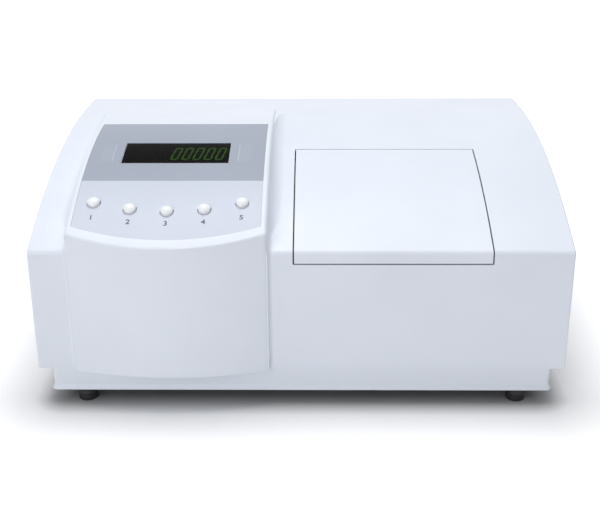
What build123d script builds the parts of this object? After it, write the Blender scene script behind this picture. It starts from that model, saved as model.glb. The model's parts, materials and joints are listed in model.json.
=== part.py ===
from build123d import *
import os
from math import asin, cos, degrees, pi, radians, sin, sqrt, tan

# A bench polarimeter: white moulded cover with a raised control console on the left,
# a lidded sample chamber on the right, and the optical train on a cast bench inside.
# Millimetres, +Z up, front towards -Y, origin on the bench top under the middle.

# Housing
body_width = 600.0
body_depth = 405.0
wall = 3.0
foot_height = 18.0
plinth_height = 31.0
front_height = 139.4
roof_rise = 82.3
crown_run = 53.7
shoulder_round = 7.0
edge_round = 2.5
plinth_inset_x = 15.0
plinth_inset_y = 5.0
pan_sheet = 2.5
pan_lip_height = 11.0
foot_radius = 11.5
foot_inset_x = 35.0
foot_inset_y = 14.5
rear_foot_room = 6.0
vent_pitch = 12.0
vent_count = 11
side_screw_room = 60.0
rear_window_border = 20.0
rear_sheet = 1.5
rear_screw_margin = 8.0
rear_screw_inset = 10.0

# Console
console_x0 = -256.0
console_width = 220.0
console_bulge = 23.5
console_end_step = 5.0
console_radius = 520.0
console_top_depth = 250.0
console_rise = 8.0
console_tail_room = 60.0
console_tail_sink = 1.5
console_round = 4.0
console_corner_round = 5.0
console_flare = 16.0
flare_run = 60.0
flare_stations = 12

# Label recess and what lies in it
label_border = 6.5
label_front_border = 10.8
label_back_depth = 220.0
label_split_depth = 74.0
label_split_gap = 0.2
label_recess = 1.0
label_film = 0.8
label_gap = 0.3
window_x0 = -210.0
window_width = 125.2
window_depth0 = 108.2
window_length = 48.0
window_sheet = 2.4
window_step = 0.4
digit_count = 8
digit_pitch = 13.2
digit_width = 9.2
digit_length = 29.0
digit_stroke = 1.8
digit_lean = 10.0
digit_last_x = -95.5
digit_shift = 4.0
digit_height = 0.6
display_face = 4.6
display_housing = 6.0
board_margin_x = 16.0
board_margin_y = 18.0
board_hole = 1.6
board_hole_margin = 6.0

# Keys
key_count = 5
key_pitch = 41.2
key_row_shift = -1.0
key_row_offset = 48.0
key_plane_shift = 5.0
key_radius = 7.0
key_crown = 6.0
key_dome = 3.2
key_gap = 0.9
key_flange_width = 2.4
key_flange_thick = 1.2
key_flange_gap = 0.75
key_stem_radius = 3.2
key_stem_end = 9.0
key_bore_end = 6.2
plunger_radius = 1.6
plunger_gap = 0.4
plunger_top = 7.9
key_switch_top = 10.8
key_board_top = 14.8
key_board_width = 34.0
key_board_end = 12.0
key_stud_row = 27.0
stud_radius = 2.6

# Chamber lid
lid_x0 = -7.0
lid_width = 217.0
lid_back_depth = 187.0
lid_lip = 13.0
lid_gap = 1.6
lid_wall = 2.2
lid_rib_height = 6.0
lid_rib_wall = 2.2
lid_rib_inset = 13.0
seal_width = 2.4
seal_gap = 0.1
mouth_inset = 14.0

# Lid hinge, two curved arms that swing under the cover's edge
arm_width = 5.0
arm_inner = 16.2
arm_outer = 22.2
arm_web = 3.0
arm_boss = 4.0
pin_radius = 2.0
arm_inset = 31.0
pivot_behind = 14.0
bracket_sag = 0.5
bracket_plate = 1.4
bracket_cheek = 2.0
hinge_side_gap = 0.4
hinge_gap = 0.1

# Sample chamber
tray_wall = 2.0
tray_ledge = 3.0
tray_overlap = 13.0
tray_end_room = 5.0
tray_back_depth = 162.0
trough_half = 30.0
tube_radius = 12.5
window_disc_radius = 11.0
window_disc_thick = 2.0
light_radius = 8.0
skin_gap = 0.2

# Optical bench
axis_depth = 95.0
axis_height = 150.0
bench_top = 100.0
bench_width = 96.0
bench_plate = 8.0
bench_wall = 6.0
bench_foot = 14.0
bench_foot_thick = 6.0
bench_x0 = -236.0
bench_end_gap = 3.0
bench_rib_count = 6
cell_radius = 12.0
mount_radius = 16.0
mount_gap = 0.6

# Worm drive of the analyzer
wheel_teeth = 40
wheel_module = 1.5
wheel_face = 8.0
wheel_x = -97.0
worm_pitch_radius = 7.0
worm_thread_length = 28.0
drive_backlash = 0.35
drum_radius = 10.0
drum_collar = 12.0
drum_bore = 7.0
bearing_length = 9.0
bearing_margin = 2.0
bush_wall = 2.0
shaft_radius = 3.5
cheek_thick = 6.0
bracket_reach = 14.0
bracket_half = 12.0
motor_radius = 12.5
motor_length = 48.0

# Electrics and connectors
inlet_x = -215.0
fuse_x = -175.0
port_x = -120.0
inlet_z = 96.0
transformer_x = -236.0
transformer_depth = 210.0
ballast_x = 150.0
ballast_depth = 250.0
board_x0 = -120.0
board_length = 210.0
board_depth0 = 190.0
board_width = 160.0
board_lift = 10.0

# Rocker switches in a recess of the right-hand side
recess_depth = 8.0
recess_y = 262.0
recess_z = 118.0
recess_length = 84.0
recess_height = 52.0
rocker_length = 21.0
rocker_width = 15.0
rocker_tilt = 8.0
rocker_spacing = 38.0
rocker_rise = 3.4
rocker_drop = 5.0
rocker_pin = 1.5
bezel = 4.0

# Small parts
running = 0.05
seat = 0.1
screw_radius = 1.75
screw_head = 3.6
screw_head_depth = 1.9
board_thick = 1.6

# Places worked out from the sizes above
half_width = body_width / 2
front_y = (console_bulge - body_depth) / 2
back_y = front_y + body_depth
z_pan = foot_height
z_cover = foot_height + plinth_height
z_shoulder = z_cover + front_height
z_crown = z_shoulder + roof_rise
roof_run = body_depth - crown_run
roof_radius = (roof_run**2 + roof_rise**2) / (2 * roof_rise)
roof_y = front_y + roof_run
roof_z = z_crown - roof_radius
console_x1 = console_x0 + console_width
console_xm = (console_x0 + console_x1) / 2
console_z = z_crown + console_rise
console_y = front_y + console_top_depth
tail_y = back_y - console_tail_room
tail_drop = console_rise + console_tail_sink
console_tail_radius = ((tail_y - console_y) ** 2 + tail_drop**2) / (2 * tail_drop)
console_sagitta = console_bulge - console_end_step
bow_radius = ((console_width / 2) ** 2 + console_sagitta**2) / (2 * console_sagitta)
bow_y = front_y - console_bulge + bow_radius
lid_x1 = lid_x0 + lid_width
lid_back_y = front_y + lid_back_depth
axis_y = front_y + axis_depth
axis_z = axis_height
floor_z = z_pan + pan_sheet
bench_x1 = half_width - plinth_inset_x - pan_sheet - bench_end_gap
pivot_below = wall + bracket_sag + bracket_plate + arm_boss + hinge_gap
arm_places = (lid_x0 + arm_inset, lid_x1 - arm_inset)
key_flange_radius = key_radius + key_flange_width


# Plain shapes given by their limits
def block(x0, x1, y0, y1, z0, z1):
    """A box between two corners."""
    middle = Pos((x0 + x1) / 2, (y0 + y1) / 2, (z0 + z1) / 2)
    return middle * Box(x1 - x0, y1 - y0, z1 - z0)


def rod_x(x0, x1, y, z, radius):
    """A cylinder along X."""
    return Pos((x0 + x1) / 2, y, z) * Rot(0, 90, 0) * Cylinder(radius, x1 - x0)


def rod_y(y0, y1, x, z, radius):
    """A cylinder along Y."""
    return Pos(x, (y0 + y1) / 2, z) * Rot(90, 0, 0) * Cylinder(radius, y1 - y0)


def rod_z(z0, z1, x, y, radius):
    """A cylinder along Z."""
    return Pos(x, y, (z0 + z1) / 2) * Cylinder(radius, z1 - z0)


def slab(face, x0, x1):
    """A side view carried along X from x0 to x1."""
    return Pos(x0, 0, 0) * extrude(Plane.YZ * face, x1 - x0)


def prism(face, z0, z1):
    """A plan view carried along Z from z0 to z1."""
    return Pos(0, 0, z0) * extrude(face, z1 - z0)


def group(pieces):
    """Several separate solids kept as one sub-part."""
    return Compound([solid for piece in pieces for solid in piece.solids()])


# Side views and plans that the housing and everything seated on it share
def roof_height(y, inset=0.0):
    """Height of the roof's skin at y, or of a layer inset below it."""
    radius = roof_radius - inset
    if y > roof_y:
        return roof_z + radius
    return roof_z + sqrt(radius**2 - (roof_y - y) ** 2)


def console_height(y, inset=0.0):
    """Height of the console's top at y, or of a layer inset below it."""
    radius = console_radius if y < console_y else console_tail_radius
    return console_z - radius + sqrt((radius - inset) ** 2 - (y - console_y) ** 2)


def body_face(inset, bottom):
    """Side view of the housing, inset all round: front, shoulder, arched roof, flat crown, back."""
    y0 = front_y + inset
    y1 = back_y - inset
    corner = (y0, roof_height(y0, inset))
    middle = (y0 + roof_y) / 2
    outline = [
        Line((y0, bottom), corner),
        ThreePointArc(corner, (middle, roof_height(middle, inset)), (roof_y, z_crown - inset)),
        Line((roof_y, z_crown - inset), (y1, z_crown - inset)),
        Line((y1, z_crown - inset), (y1, bottom)),
        Line((y1, bottom), (y0, bottom)),
    ]
    face = make_face(outline)
    shoulder = face.vertices().sort_by_distance(corner)[0]
    return fillet(shoulder, max(shoulder_round - inset, 0.8))


def console_face(inset, bottom):
    """Side view of the console: an arc up to its highest line, then a tail that dips into the roof."""
    y0 = front_y - console_bulge - 8
    y1 = tail_y
    rise_middle = (y0 + console_y) / 2
    tail_middle = (console_y + y1) / 2
    top = (console_y, console_z - inset)
    foot = (y0, console_height(y0, inset))
    tail = (y1, console_height(y1, inset))
    return make_face([
        Line((y0, bottom), foot),
        ThreePointArc(foot, (rise_middle, console_height(rise_middle, inset)), top),
        ThreePointArc(top, (tail_middle, console_height(tail_middle, inset)), tail),
        Line(tail, (y1, bottom)),
        Line((y1, bottom), (y0, bottom)),
    ])


def bow_depth(x, inset=0.0):
    """Y of the bowed front of the console at x, or of a line inset behind it."""
    return bow_y - sqrt((bow_radius - inset) ** 2 - (x - console_xm) ** 2)


def console_plan(side_inset, bow_inset, y1):
    """Plan of the console back to y1, with its front bowed outwards."""
    x0 = console_x0 + side_inset
    x1 = console_x1 - side_inset
    left = (x0, bow_depth(x0, bow_inset))
    right = (x1, bow_depth(x1, bow_inset))
    return make_face([
        ThreePointArc(left, (console_xm, bow_depth(console_xm, bow_inset)), right),
        Line(right, (x1, y1)),
        Line((x1, y1), (x0, y1)),
        Line((x0, y1), left),
    ])


def body_layer(outer, inner, bottom, x0, x1):
    """The skin of the housing between two insets."""
    return slab(body_face(outer, bottom), x0, x1) - slab(body_face(inner, bottom - 1), x0, x1)


def console_layer(outer, inner, x0, x1, bottom=z_shoulder - 20):
    """The skin of the console's top between two insets."""
    return slab(console_face(outer, bottom), x0, x1) - slab(console_face(inner, bottom - 1), x0, x1)


def tangent_plane(y, height, radius, centre_y, inset=0.0):
    """A plane on an arched skin at y: its x is +X, its z is the outward normal."""
    slope = asin((centre_y - y) / radius)
    origin = (0, y + inset * sin(slope), height - inset * cos(slope))
    return Plane(origin=origin, x_dir=(1, 0, 0), z_dir=(0, -sin(slope), cos(slope)))


# Fasteners
def countersunk_screw(length):
    """A countersunk screw whose flat head lies at z = 0 and whose shank points down."""
    head = Pos(0, 0, -screw_head_depth / 2) * Cone(screw_radius, screw_head, screw_head_depth)
    shank = Pos(0, 0, -(length + screw_head_depth) / 2) * Cylinder(screw_radius, length - screw_head_depth)
    slot = Pos(0, 0, -0.4) * Box(5.2, 0.9, 0.8)
    return head + shank - slot


def countersink(length):
    """The hole that a countersunk screw needs, a running gap larger all round."""
    gap = running
    head = Pos(0, 0, -screw_head_depth / 2) * Cone(screw_radius + gap, screw_head + gap, screw_head_depth)
    shank = Pos(0, 0, -length / 2) * Cylinder(screw_radius + gap, length + 0.4)
    mouth = Pos(0, 0, 0.25) * Cylinder(screw_head + gap, 0.5)
    return head + shank + mouth


side_screw_z = z_cover + pan_lip_height / 2
side_screw_depths = (side_screw_room, body_depth / 2, body_depth - side_screw_room)
recess_x = half_width - recess_depth
recess_y0 = front_y + recess_y - recess_length / 2
recess_y1 = recess_y0 + recess_length
recess_z0 = recess_z - recess_height / 2
recess_z1 = recess_z0 + recess_height
rocker_ys = [front_y + recess_y + side * rocker_spacing / 2 for side in (-1, 1)]
rear_screw_x = half_width - rear_screw_inset
vent_x0 = half_width - plinth_inset_x - 25 - vent_count * vent_pitch + vent_pitch
vent_y = front_y + body_depth / 2
rear_window_z0 = z_cover + pan_lip_height + 6
rear_window_z1 = z_crown - rear_window_border
rear_screw_zs = (rear_window_z0 + rear_screw_margin, rear_window_z1 - rear_screw_margin)


def side_screw_places():
    """Places of the screws that hold the cover to the pan's lip, heads outwards."""
    right = [Pos(half_width, front_y + d, side_screw_z) * Rot(0, 90, 0) for d in side_screw_depths]
    left = [Pos(-half_width, front_y + d, side_screw_z) * Rot(0, -90, 0) for d in side_screw_depths]
    return right + left


def rear_screw_places():
    """Places of the screws at the ends of the rear panel, heads outwards."""
    spots = [(x, z) for x in (-rear_screw_x, rear_screw_x) for z in rear_screw_zs]
    return [Pos(x, back_y, z) * Rot(-90, 0, 0) for x, z in spots]


# Cover
def console_block(inset, bottom):
    """The console as a plain block: its side view and its plan in common."""
    x0 = console_x0 + inset
    x1 = console_x1 - inset
    plan = console_plan(inset, inset, tail_y)
    return slab(console_face(inset, bottom), x0, x1) & prism(plan, bottom, console_z + 10)


def console_outside():
    """The console with its front corners and top edges rounded."""
    solid = console_block(0, z_cover)
    corners = [e for e in solid.edges().filter_by(Axis.Z) if e.center().Y < front_y]
    solid = fillet(corners, console_corner_round)
    top = []
    for edge in solid.edges():
        spot = edge @ 0.5
        on_top = abs(spot.Z - console_height(spot.Y)) < 0.05
        inside = spot.Y < tail_y - 1
        across = edge.length > 60 and abs((edge % 0.5).X) > 0.99 and spot.Y > front_y
        if on_top and inside and not across:
            top.append(edge)
    return fillet(top, console_round)


def flare_section(size, side):
    """Section of a concave strip: a leg up the console, a leg along the housing, an arc between."""
    root = 2.0
    reach = size * (1 - sqrt(0.5))
    return make_face([
        Line((-side * root, -root), (-side * root, size)),
        Line((-side * root, size), (0, size)),
        ThreePointArc((0, size), (side * reach, reach), (side * size, 0)),
        Line((side * size, 0), (side * size, -root)),
        Line((side * size, -root), (-side * root, -root)),
    ])


def roof_flare(x, side):
    """A concave strip along the roof that widens behind the shoulder."""
    y0 = front_y + shoulder_round
    sections = []
    for i in range(flare_stations):
        y = y0 + (tail_y - y0) * i / (flare_stations - 1)
        size = console_end_step + (console_flare - console_end_step) * min(1, (y - y0) / flare_run)
        slope = asin(max(roof_y - y, 0) / roof_radius)
        station = Plane(origin=(x, y, roof_height(y)), x_dir=(1, 0, 0), z_dir=(0, -cos(slope), -sin(slope)))
        sections.append(station * flare_section(size, side))
    return loft(sections)


def console_flares():
    """Concave strips along the console's two feet: narrow on the front, wide on the roof."""
    side_view = body_face(0, z_cover)
    outline = [e for e in side_view.edges() if (e @ 0.5).X < back_y - 1 and (e @ 0.5).Y > z_cover + 1]
    path = Plane.YZ * Wire(outline)
    flares = []
    for x, side in ((console_x0, -1), (console_x1, 1)):
        start = Plane(origin=(x, front_y, z_cover), x_dir=(1, 0, 0), z_dir=(0, 0, -1))
        section = start * flare_section(console_end_step, side)
        flares.append(sweep(section, path=Pos(x, 0, 0) * path))
        flares.append(roof_flare(x, side))
    return flares


def upper_cover():
    """One moulded shell: housing and console outside, the same forms a wall smaller inside."""
    shell = slab(body_face(0, z_cover), -half_width, half_width)
    rims = [e for e in shell.edges() if abs(abs((e @ 0.5).X) - half_width) < 0.01]
    rims = [e for e in rims if (e @ 0.5).Z > z_cover + 1]
    shell = fillet(rims, edge_round)
    limit = slab(console_face(console_round, z_cover), console_x0 - 20, console_x1 + 20)
    for flare in console_flares():
        shell += flare & limit
    shell += console_outside()
    below = z_cover - 1
    shell -= slab(body_face(wall, below), -half_width + wall, half_width - wall)
    shell -= console_block(wall, below)
    shell -= block(lid_x0 - lid_gap, lid_x1 + lid_gap, front_y - 1, lid_back_y + lid_gap,
                   z_shoulder - lid_lip - lid_gap, z_crown + 1)
    frame_x = half_width - rear_window_border
    shell -= block(-frame_x, frame_x, back_y - 5, back_y + 1, rear_window_z0, rear_window_z1)
    label = console_plan(label_border, label_front_border, front_y + label_back_depth)
    recess = prism(label, z_shoulder - 20, console_z + 10)
    shell -= recess - slab(console_face(label_recess, z_cover), console_x0, console_x1)
    shell -= window_hole(0)
    for place in key_places():
        shell -= place * Cylinder(key_radius + key_gap, 30)
    shell += block(recess_x - wall, half_width - 1, recess_y0 - wall, recess_y1 + wall,
                   recess_z0 - wall, recess_z1 + wall)
    shell -= block(recess_x, half_width + 1, recess_y0, recess_y1, recess_z0, recess_z1)
    hole_y = rocker_width / 2 + bezel / 2
    hole_z = rocker_length / 2 + bezel / 2
    for y in rocker_ys:
        shell -= block(recess_x - wall - 1, recess_x + 1, y - hole_y, y + hole_y,
                       recess_z - hole_z, recess_z + hole_z)
    for place in side_screw_places() + rear_screw_places():
        shell -= place * countersink(wall)
    return shell


# Base pan, feet and rear panel
def pan_plan(inset):
    """Plan of the housing with the console's bow, inset all round."""
    y0 = front_y + inset
    middle = (y0 + back_y - inset) / 2
    rectangle = Pos(0, middle) * Rectangle(body_width - 2 * inset, body_depth - 2 * inset)
    return rectangle + console_plan(inset, inset, middle)


def base_pan():
    """A folded tray: plinth walls, a shelf that carries the cover, and a lip inside the cover."""
    x1 = half_width - plinth_inset_x
    y0 = front_y + plinth_inset_y
    y1 = back_y - plinth_inset_y
    shelf_z = z_cover - pan_sheet
    pan = block(-x1, x1, y0, y1, z_pan, z_cover)
    corners = [e for e in pan.edges().filter_by(Axis.Z)]
    pan = fillet(corners, 4)
    pan += prism(pan_plan(1.2), shelf_z, z_cover)
    lip = wall + 0.2
    pan += prism(pan_plan(lip), shelf_z, z_cover + pan_lip_height)
    pan -= prism(pan_plan(lip + 2), z_cover, z_cover + pan_lip_height + 1)
    pan -= block(-x1 + pan_sheet, x1 - pan_sheet, y0 + pan_sheet, y1 - pan_sheet, floor_z, z_cover + 1)
    for place in side_screw_places():
        pan -= place * Pos(0, 0, -5) * Cylinder(screw_radius + running, 14)
    for x, y in foot_places():
        pan -= rod_z(z_pan - 1, floor_z + 1, x, y, screw_radius + running)
    for i in range(vent_count):
        x = vent_x0 + i * vent_pitch
        pan -= block(x - 2, x + 2, vent_y - 30, vent_y + 30, z_pan - 1, floor_z + 1)
    return pan


def foot_places():
    """Centres of the four feet."""
    xs = (-half_width + plinth_inset_x + foot_inset_x, half_width - plinth_inset_x - foot_inset_x)
    ys = (front_y + plinth_inset_y + foot_inset_y, back_y - plinth_inset_y - foot_inset_y - rear_foot_room)
    return [(x, y) for x in xs for y in ys]


def rubber_feet():
    """Turned rubber feet, rounded at the ground and bored for their screws."""
    r = foot_radius
    h = foot_height
    outline = make_face([
        Line((screw_radius + running, 5), (4.6, 5)),
        Line((4.6, 5), (4.6, 0)),
        Line((4.6, 0), (r - 2.5, 0)),
        ThreePointArc((r - 2.5, 0), (r - 0.75, 0.75), (r, 2.5)),
        Line((r, 2.5), (r - 0.8, h)),
        Line((r - 0.8, h), (screw_radius + running, h)),
        Line((screw_radius + running, h), (screw_radius + running, 5)),
    ])
    foot = revolve(Plane.XZ * outline, Axis.Z)
    return group([Pos(x, y, 0) * foot for x, y in foot_places()])


def foot_screw():
    """A screw with a pan head inside a foot, up through the pan's floor into its nut."""
    screw = rod_z(5, floor_z + 4, 0, 0, screw_radius) + rod_z(2.4, 5, 0, 0, 3.4)
    return screw + prism(RegularPolygon(3.6, 6), floor_z, floor_z + 2.6)


def rear_panel():
    """A steel sheet behind the cover's rear window, with vents and cut-outs for the connectors."""
    x1 = half_width - wall - 1
    z0 = z_cover + pan_lip_height + 0.6
    z1 = z_crown - wall - 1
    y1 = back_y - wall
    panel = block(-x1, x1, y1 - rear_sheet, y1, z0, z1)
    for i in range(12):
        x = half_width - 48 - i * vent_pitch
        for z in (120, 190):
            panel -= Pos(x, y1, z) * Rot(90, 0, 0) * extrude(SlotOverall(46, 5, rotation=90), 5, both=True)
    panel -= block(inlet_x - 13.9, inlet_x + 13.9, y1 - 5, y1 + 1, inlet_z - 10.4, inlet_z + 10.4)
    panel -= rod_y(y1 - 5, y1 + 1, fuse_x, inlet_z, 6.3)
    panel -= block(port_x - 12.1, port_x + 12.1, y1 - 5, y1 + 1, inlet_z - 5.6, inlet_z + 5.6)
    for place in rear_screw_places():
        panel -= place * Pos(0, 0, -5) * Cylinder(screw_radius + running, 6)
    return panel


def housing_screws():
    """Every screw of the cover, the rear panel and the feet."""
    sides = [place * countersunk_screw(8) for place in side_screw_places()]
    rear = [place * countersunk_screw(7) for place in rear_screw_places()]
    feet = [Pos(x, y, 0) * foot_screw() for x, y in foot_places()]
    return group(sides + rear + feet)


# Connectors on the rear panel
def mains_inlet():
    """A three-pin inlet: flange, hollow shroud and pins."""
    y1 = back_y - wall
    flange = block(inlet_x - 16, inlet_x + 16, y1, y1 + 2.6, inlet_z - 12, inlet_z + 12)
    flange = fillet(flange.edges().filter_by(Axis.Y), 3)
    body = flange + block(inlet_x - 13.6, inlet_x + 13.6, y1 - 24, y1 + 1, inlet_z - 10.1, inlet_z + 10.1)
    body -= block(inlet_x - 12.1, inlet_x + 12.1, y1 - 16, y1 + 3, inlet_z - 8.2, inlet_z + 8.2)
    pins = [(-7, -1.5), (7, -1.5), (0, 2.5)]
    for dx, dz in pins:
        x = inlet_x + dx
        z = inlet_z + dz
        body += block(x - 1, x + 1, y1 - 17, y1 - 5, z - 2, z + 2)
        body += block(x - 3, x + 3, y1 - 32, y1 - 23, z - 0.5, z + 0.5)
    return body


def fuse_holder():
    """A round panel fuse holder with its screw cap and rear nut."""
    y1 = back_y - wall
    body = rod_y(y1 - 26, y1 + 0.5, fuse_x, inlet_z, 6.1)
    body += rod_y(y1, y1 + 2.6, fuse_x, inlet_z, 8.2)
    body += Pos(fuse_x, y1 - rear_sheet, inlet_z) * Rot(90, 0, 0) * extrude(RegularPolygon(9, 6), 3)
    body -= block(fuse_x - 4.5, fuse_x + 4.5, y1 + 1.8, y1 + 3, inlet_z - 0.6, inlet_z + 0.6)
    return body


def serial_port():
    """A nine-way socket: flange, tapered shell and jack posts."""
    y1 = back_y - wall
    flange = block(port_x - 15.4, port_x + 15.4, y1, y1 + 0.8, inlet_z - 6.3, inlet_z + 6.3)
    outline = make_face(Polyline((-8.4, 4.2), (8.4, 4.2), (6.9, -4.2), (-6.9, -4.2), close=True))
    shell = extrude(fillet(outline.vertices(), 1.5), 2.8, both=True)
    shell = Pos(port_x, y1, inlet_z) * Rot(90, 0, 0) * shell
    body = flange + shell + block(port_x - 11.8, port_x + 11.8, y1 - 10, y1, inlet_z - 5.3, inlet_z + 5.3)
    for i in range(5):
        body -= rod_y(y1 + 0.5, y1 + 3, port_x - 5.5 + i * 2.75, inlet_z + 1.4, 0.55)
    for i in range(4):
        body -= rod_y(y1 + 0.5, y1 + 3, port_x - 4.1 + i * 2.75, inlet_z - 1.4, 0.55)
    for side in (-1, 1):
        post = extrude(RegularPolygon(2.6, 6), 2.4)
        body += Pos(port_x + side * 12.5, y1 + 2.7, inlet_z) * Rot(90, 0, 0) * post
    return body


# Control panel
window_y0 = front_y + window_depth0
window_y1 = window_y0 + window_length
window_ym = (window_y0 + window_y1) / 2
window_x1 = window_x0 + window_width
window_xm = (window_x0 + window_x1) / 2
display_board_top = display_face + display_housing


def window_hole(gap):
    """The opening for the display window, upright through the console's top."""
    top = console_z + 5
    return block(window_x0 - gap, window_x1 + gap, window_y0 - gap, window_y1 + gap, z_shoulder, top)


def display_overlay():
    """The grey label round the display, lying in the console's recess."""
    plan = console_plan(label_border + label_gap, label_front_border, front_y + label_back_depth - label_gap)
    split_y = front_y + label_split_depth
    behind = block(console_x0, console_x1, split_y, tail_y, z_cover, console_z + 10)
    film = console_layer(label_recess - label_film, label_recess, console_x0, console_x1)
    film = film & prism(plan, z_cover, console_z + 10) & behind
    return film - window_hole(label_gap)


def keypad_overlay():
    """The light label round the keys, in front of the grey one."""
    front = label_front_border + label_gap
    plan = console_plan(label_border + label_gap, front, front_y + label_split_depth - label_split_gap)
    film = console_layer(label_recess - label_film, label_recess, console_x0, console_x1)
    film = film & prism(plan, z_shoulder - 20, console_z + 10)
    for place in key_places():
        film -= place * Cylinder(key_radius + key_gap, 30)
    return film


def display_window():
    """A dark filter sheet, curved with the console and let into the window."""
    gap = label_gap
    sheet = console_layer(window_step, window_step + window_sheet, window_x0 + gap, window_x1 - gap)
    return sheet & block(window_x0, window_x1, window_y0 + gap, window_y1 - gap, z_shoulder, console_z + 5)


display_plane = tangent_plane(window_ym, console_height(window_ym), console_radius, console_y)


def segment(points, height):
    """One lit bar of a digit, leaning with it."""
    lean = tan(radians(digit_lean))
    outline = [(x + y * lean, y) for x, y in points]
    return extrude(make_face(Polyline(*outline, close=True)), height)


def display_digits():
    """Seven-bar digits standing on the face of the display board."""
    w = digit_width / 2 - digit_stroke / 2
    h = digit_length / 2 - digit_stroke / 2
    s = digit_stroke / 2
    gap = 0.35
    bars = []
    for y in (-h, 0, h):
        a = w - gap
        bars.append([(-a, y), (-a + s, y + s), (a - s, y + s), (a, y), (a - s, y - s), (-a + s, y - s)])
    for x in (-w, w):
        for low, high in ((-h, 0), (0, h)):
            a = low + gap
            b = high - gap
            bars.append([(x, a), (x + s, a + s), (x + s, b - s), (x, b), (x - s, b - s), (x - s, a + s)])
    digits = []
    for i in range(digit_count):
        x = digit_last_x - i * digit_pitch
        for bar in bars:
            digits.append(display_plane * Pos(x, digit_shift, -display_face) * segment(bar, digit_height))
    return group(digits)


def display_board():
    """Digit housings on their circuit board, parallel to the window."""
    x0 = digit_last_x - (digit_count - 0.5) * digit_pitch - 1.5
    x1 = digit_last_x + digit_pitch / 2 + 1.5
    housing = Box(x1 - x0, digit_length + 7, display_housing)
    housing = Pos((x0 + x1) / 2, digit_shift, -display_face - display_housing / 2) * housing
    board = Box(window_width + board_margin_x, window_length + board_margin_y, board_thick)
    for x, y in display_corners():
        board -= Pos(x, y, 0) * Cylinder(board_hole, 4)
    board = Pos(window_xm, 0, -display_board_top - board_thick / 2) * board
    return display_plane * (housing + board)


def display_corners():
    """Centres of the display board's corner holes, about the window's middle."""
    length = window_width + board_margin_x - 2 * board_hole_margin
    return board_corners(length, window_length + board_margin_y - 2 * board_hole_margin)


def board_corners(length, width):
    """Four points at the corners of a rectangle about the origin."""
    return [(x, y) for x in (-length / 2, length / 2) for y in (-width / 2, width / 2)]


key_row_depth = key_row_offset - console_bulge
key_mid_y = front_y + key_row_depth + key_plane_shift
key_plane = tangent_plane(key_mid_y, console_height(key_mid_y), console_radius, console_y)
key_slope = asin((console_y - key_mid_y) / console_radius)


def key_xs():
    """X of each key, from left to right."""
    middle = console_xm + key_row_shift
    return [middle + (i - (key_count - 1) / 2) * key_pitch for i in range(key_count)]


def key_places():
    """Place of each key on the console's skin, z along its stroke."""
    places = []
    for x in key_xs():
        along = (bow_depth(x, key_row_offset) - key_mid_y) / cos(key_slope)
        places.append(key_plane.location * Pos(x, along, 0))
    return places


def key(place):
    """A domed round cap with a retaining flange and a hollow stem."""
    r = key_radius
    side = key_crown - key_dome
    dome_r = (r**2 + key_dome**2) / (2 * key_dome)
    shoulder = r * 0.6
    shoulder_z = key_crown - dome_r + sqrt(dome_r**2 - shoulder**2)
    bore = plunger_radius + plunger_gap
    flange_top = -wall - key_flange_gap
    flange_low = flange_top - key_flange_thick
    outline = make_face([
        Line((0, -key_bore_end), (bore, -key_bore_end)),
        Line((bore, -key_bore_end), (bore, -key_stem_end)),
        Line((bore, -key_stem_end), (key_stem_radius, -key_stem_end)),
        Line((key_stem_radius, -key_stem_end), (key_stem_radius, flange_low)),
        Line((key_stem_radius, flange_low), (key_flange_radius, flange_low)),
        Line((key_flange_radius, flange_low), (key_flange_radius, flange_top)),
        Line((key_flange_radius, flange_top), (r, flange_top)),
        Line((r, flange_top), (r, side)),
        ThreePointArc((r, side), (shoulder, shoulder_z), (0, key_crown)),
        Line((0, key_crown), (0, -key_bore_end)),
    ])
    return place * revolve(Plane.XZ * outline, Axis.Z)


def key_switches():
    """Push switches under the keys, their plungers inside the keys' stems."""
    body = Box(12, 12, key_board_top - key_switch_top)
    body = fillet(body.edges().filter_by(Axis.Z), 1)
    body = Pos(0, 0, -(key_board_top + key_switch_top) / 2) * body
    plunger = rod_z(-key_switch_top, -plunger_top, 0, 0, plunger_radius)
    return group([place * (body + plunger) for place in key_places()])


def key_board_along():
    """Distance along the key plane from its origin to the middle of the keypad's board."""
    return (bow_depth(console_xm + key_row_shift + key_pitch, key_row_offset) - key_mid_y) / cos(key_slope)


def keypad_board():
    """The circuit board under the push switches."""
    board = Box(key_count * key_pitch - key_board_end, key_board_width, board_thick)
    for x, y in board_corners(3 * key_pitch, key_stud_row):
        board -= Pos(x, y, 0) * Cylinder(board_hole, 4)
    place = Pos(console_xm + key_row_shift, key_board_along(), -key_board_top - board_thick / 2)
    return key_plane * place * board


def panel_studs():
    """Spacers that hang the two boards from the console's underside."""
    studs = []
    for x, y in display_corners():
        top = stud_top(y)
        studs.append(display_plane * rod_z(-display_board_top, -top, window_xm + x, y, stud_radius))
    middle = console_xm + key_row_shift
    for x, y in board_corners(3 * key_pitch, key_stud_row):
        along = key_board_along() + y
        studs.append(key_plane * rod_z(-key_board_top, -stud_top(along), middle + x, along, stud_radius))
    return group(studs)


def stud_top(along):
    """Depth under a tangent plane at which the console's underside lies, a seat gap added."""
    drop = console_radius - sqrt(console_radius**2 - (abs(along) + stud_radius) ** 2)
    return wall + drop + seat


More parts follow.
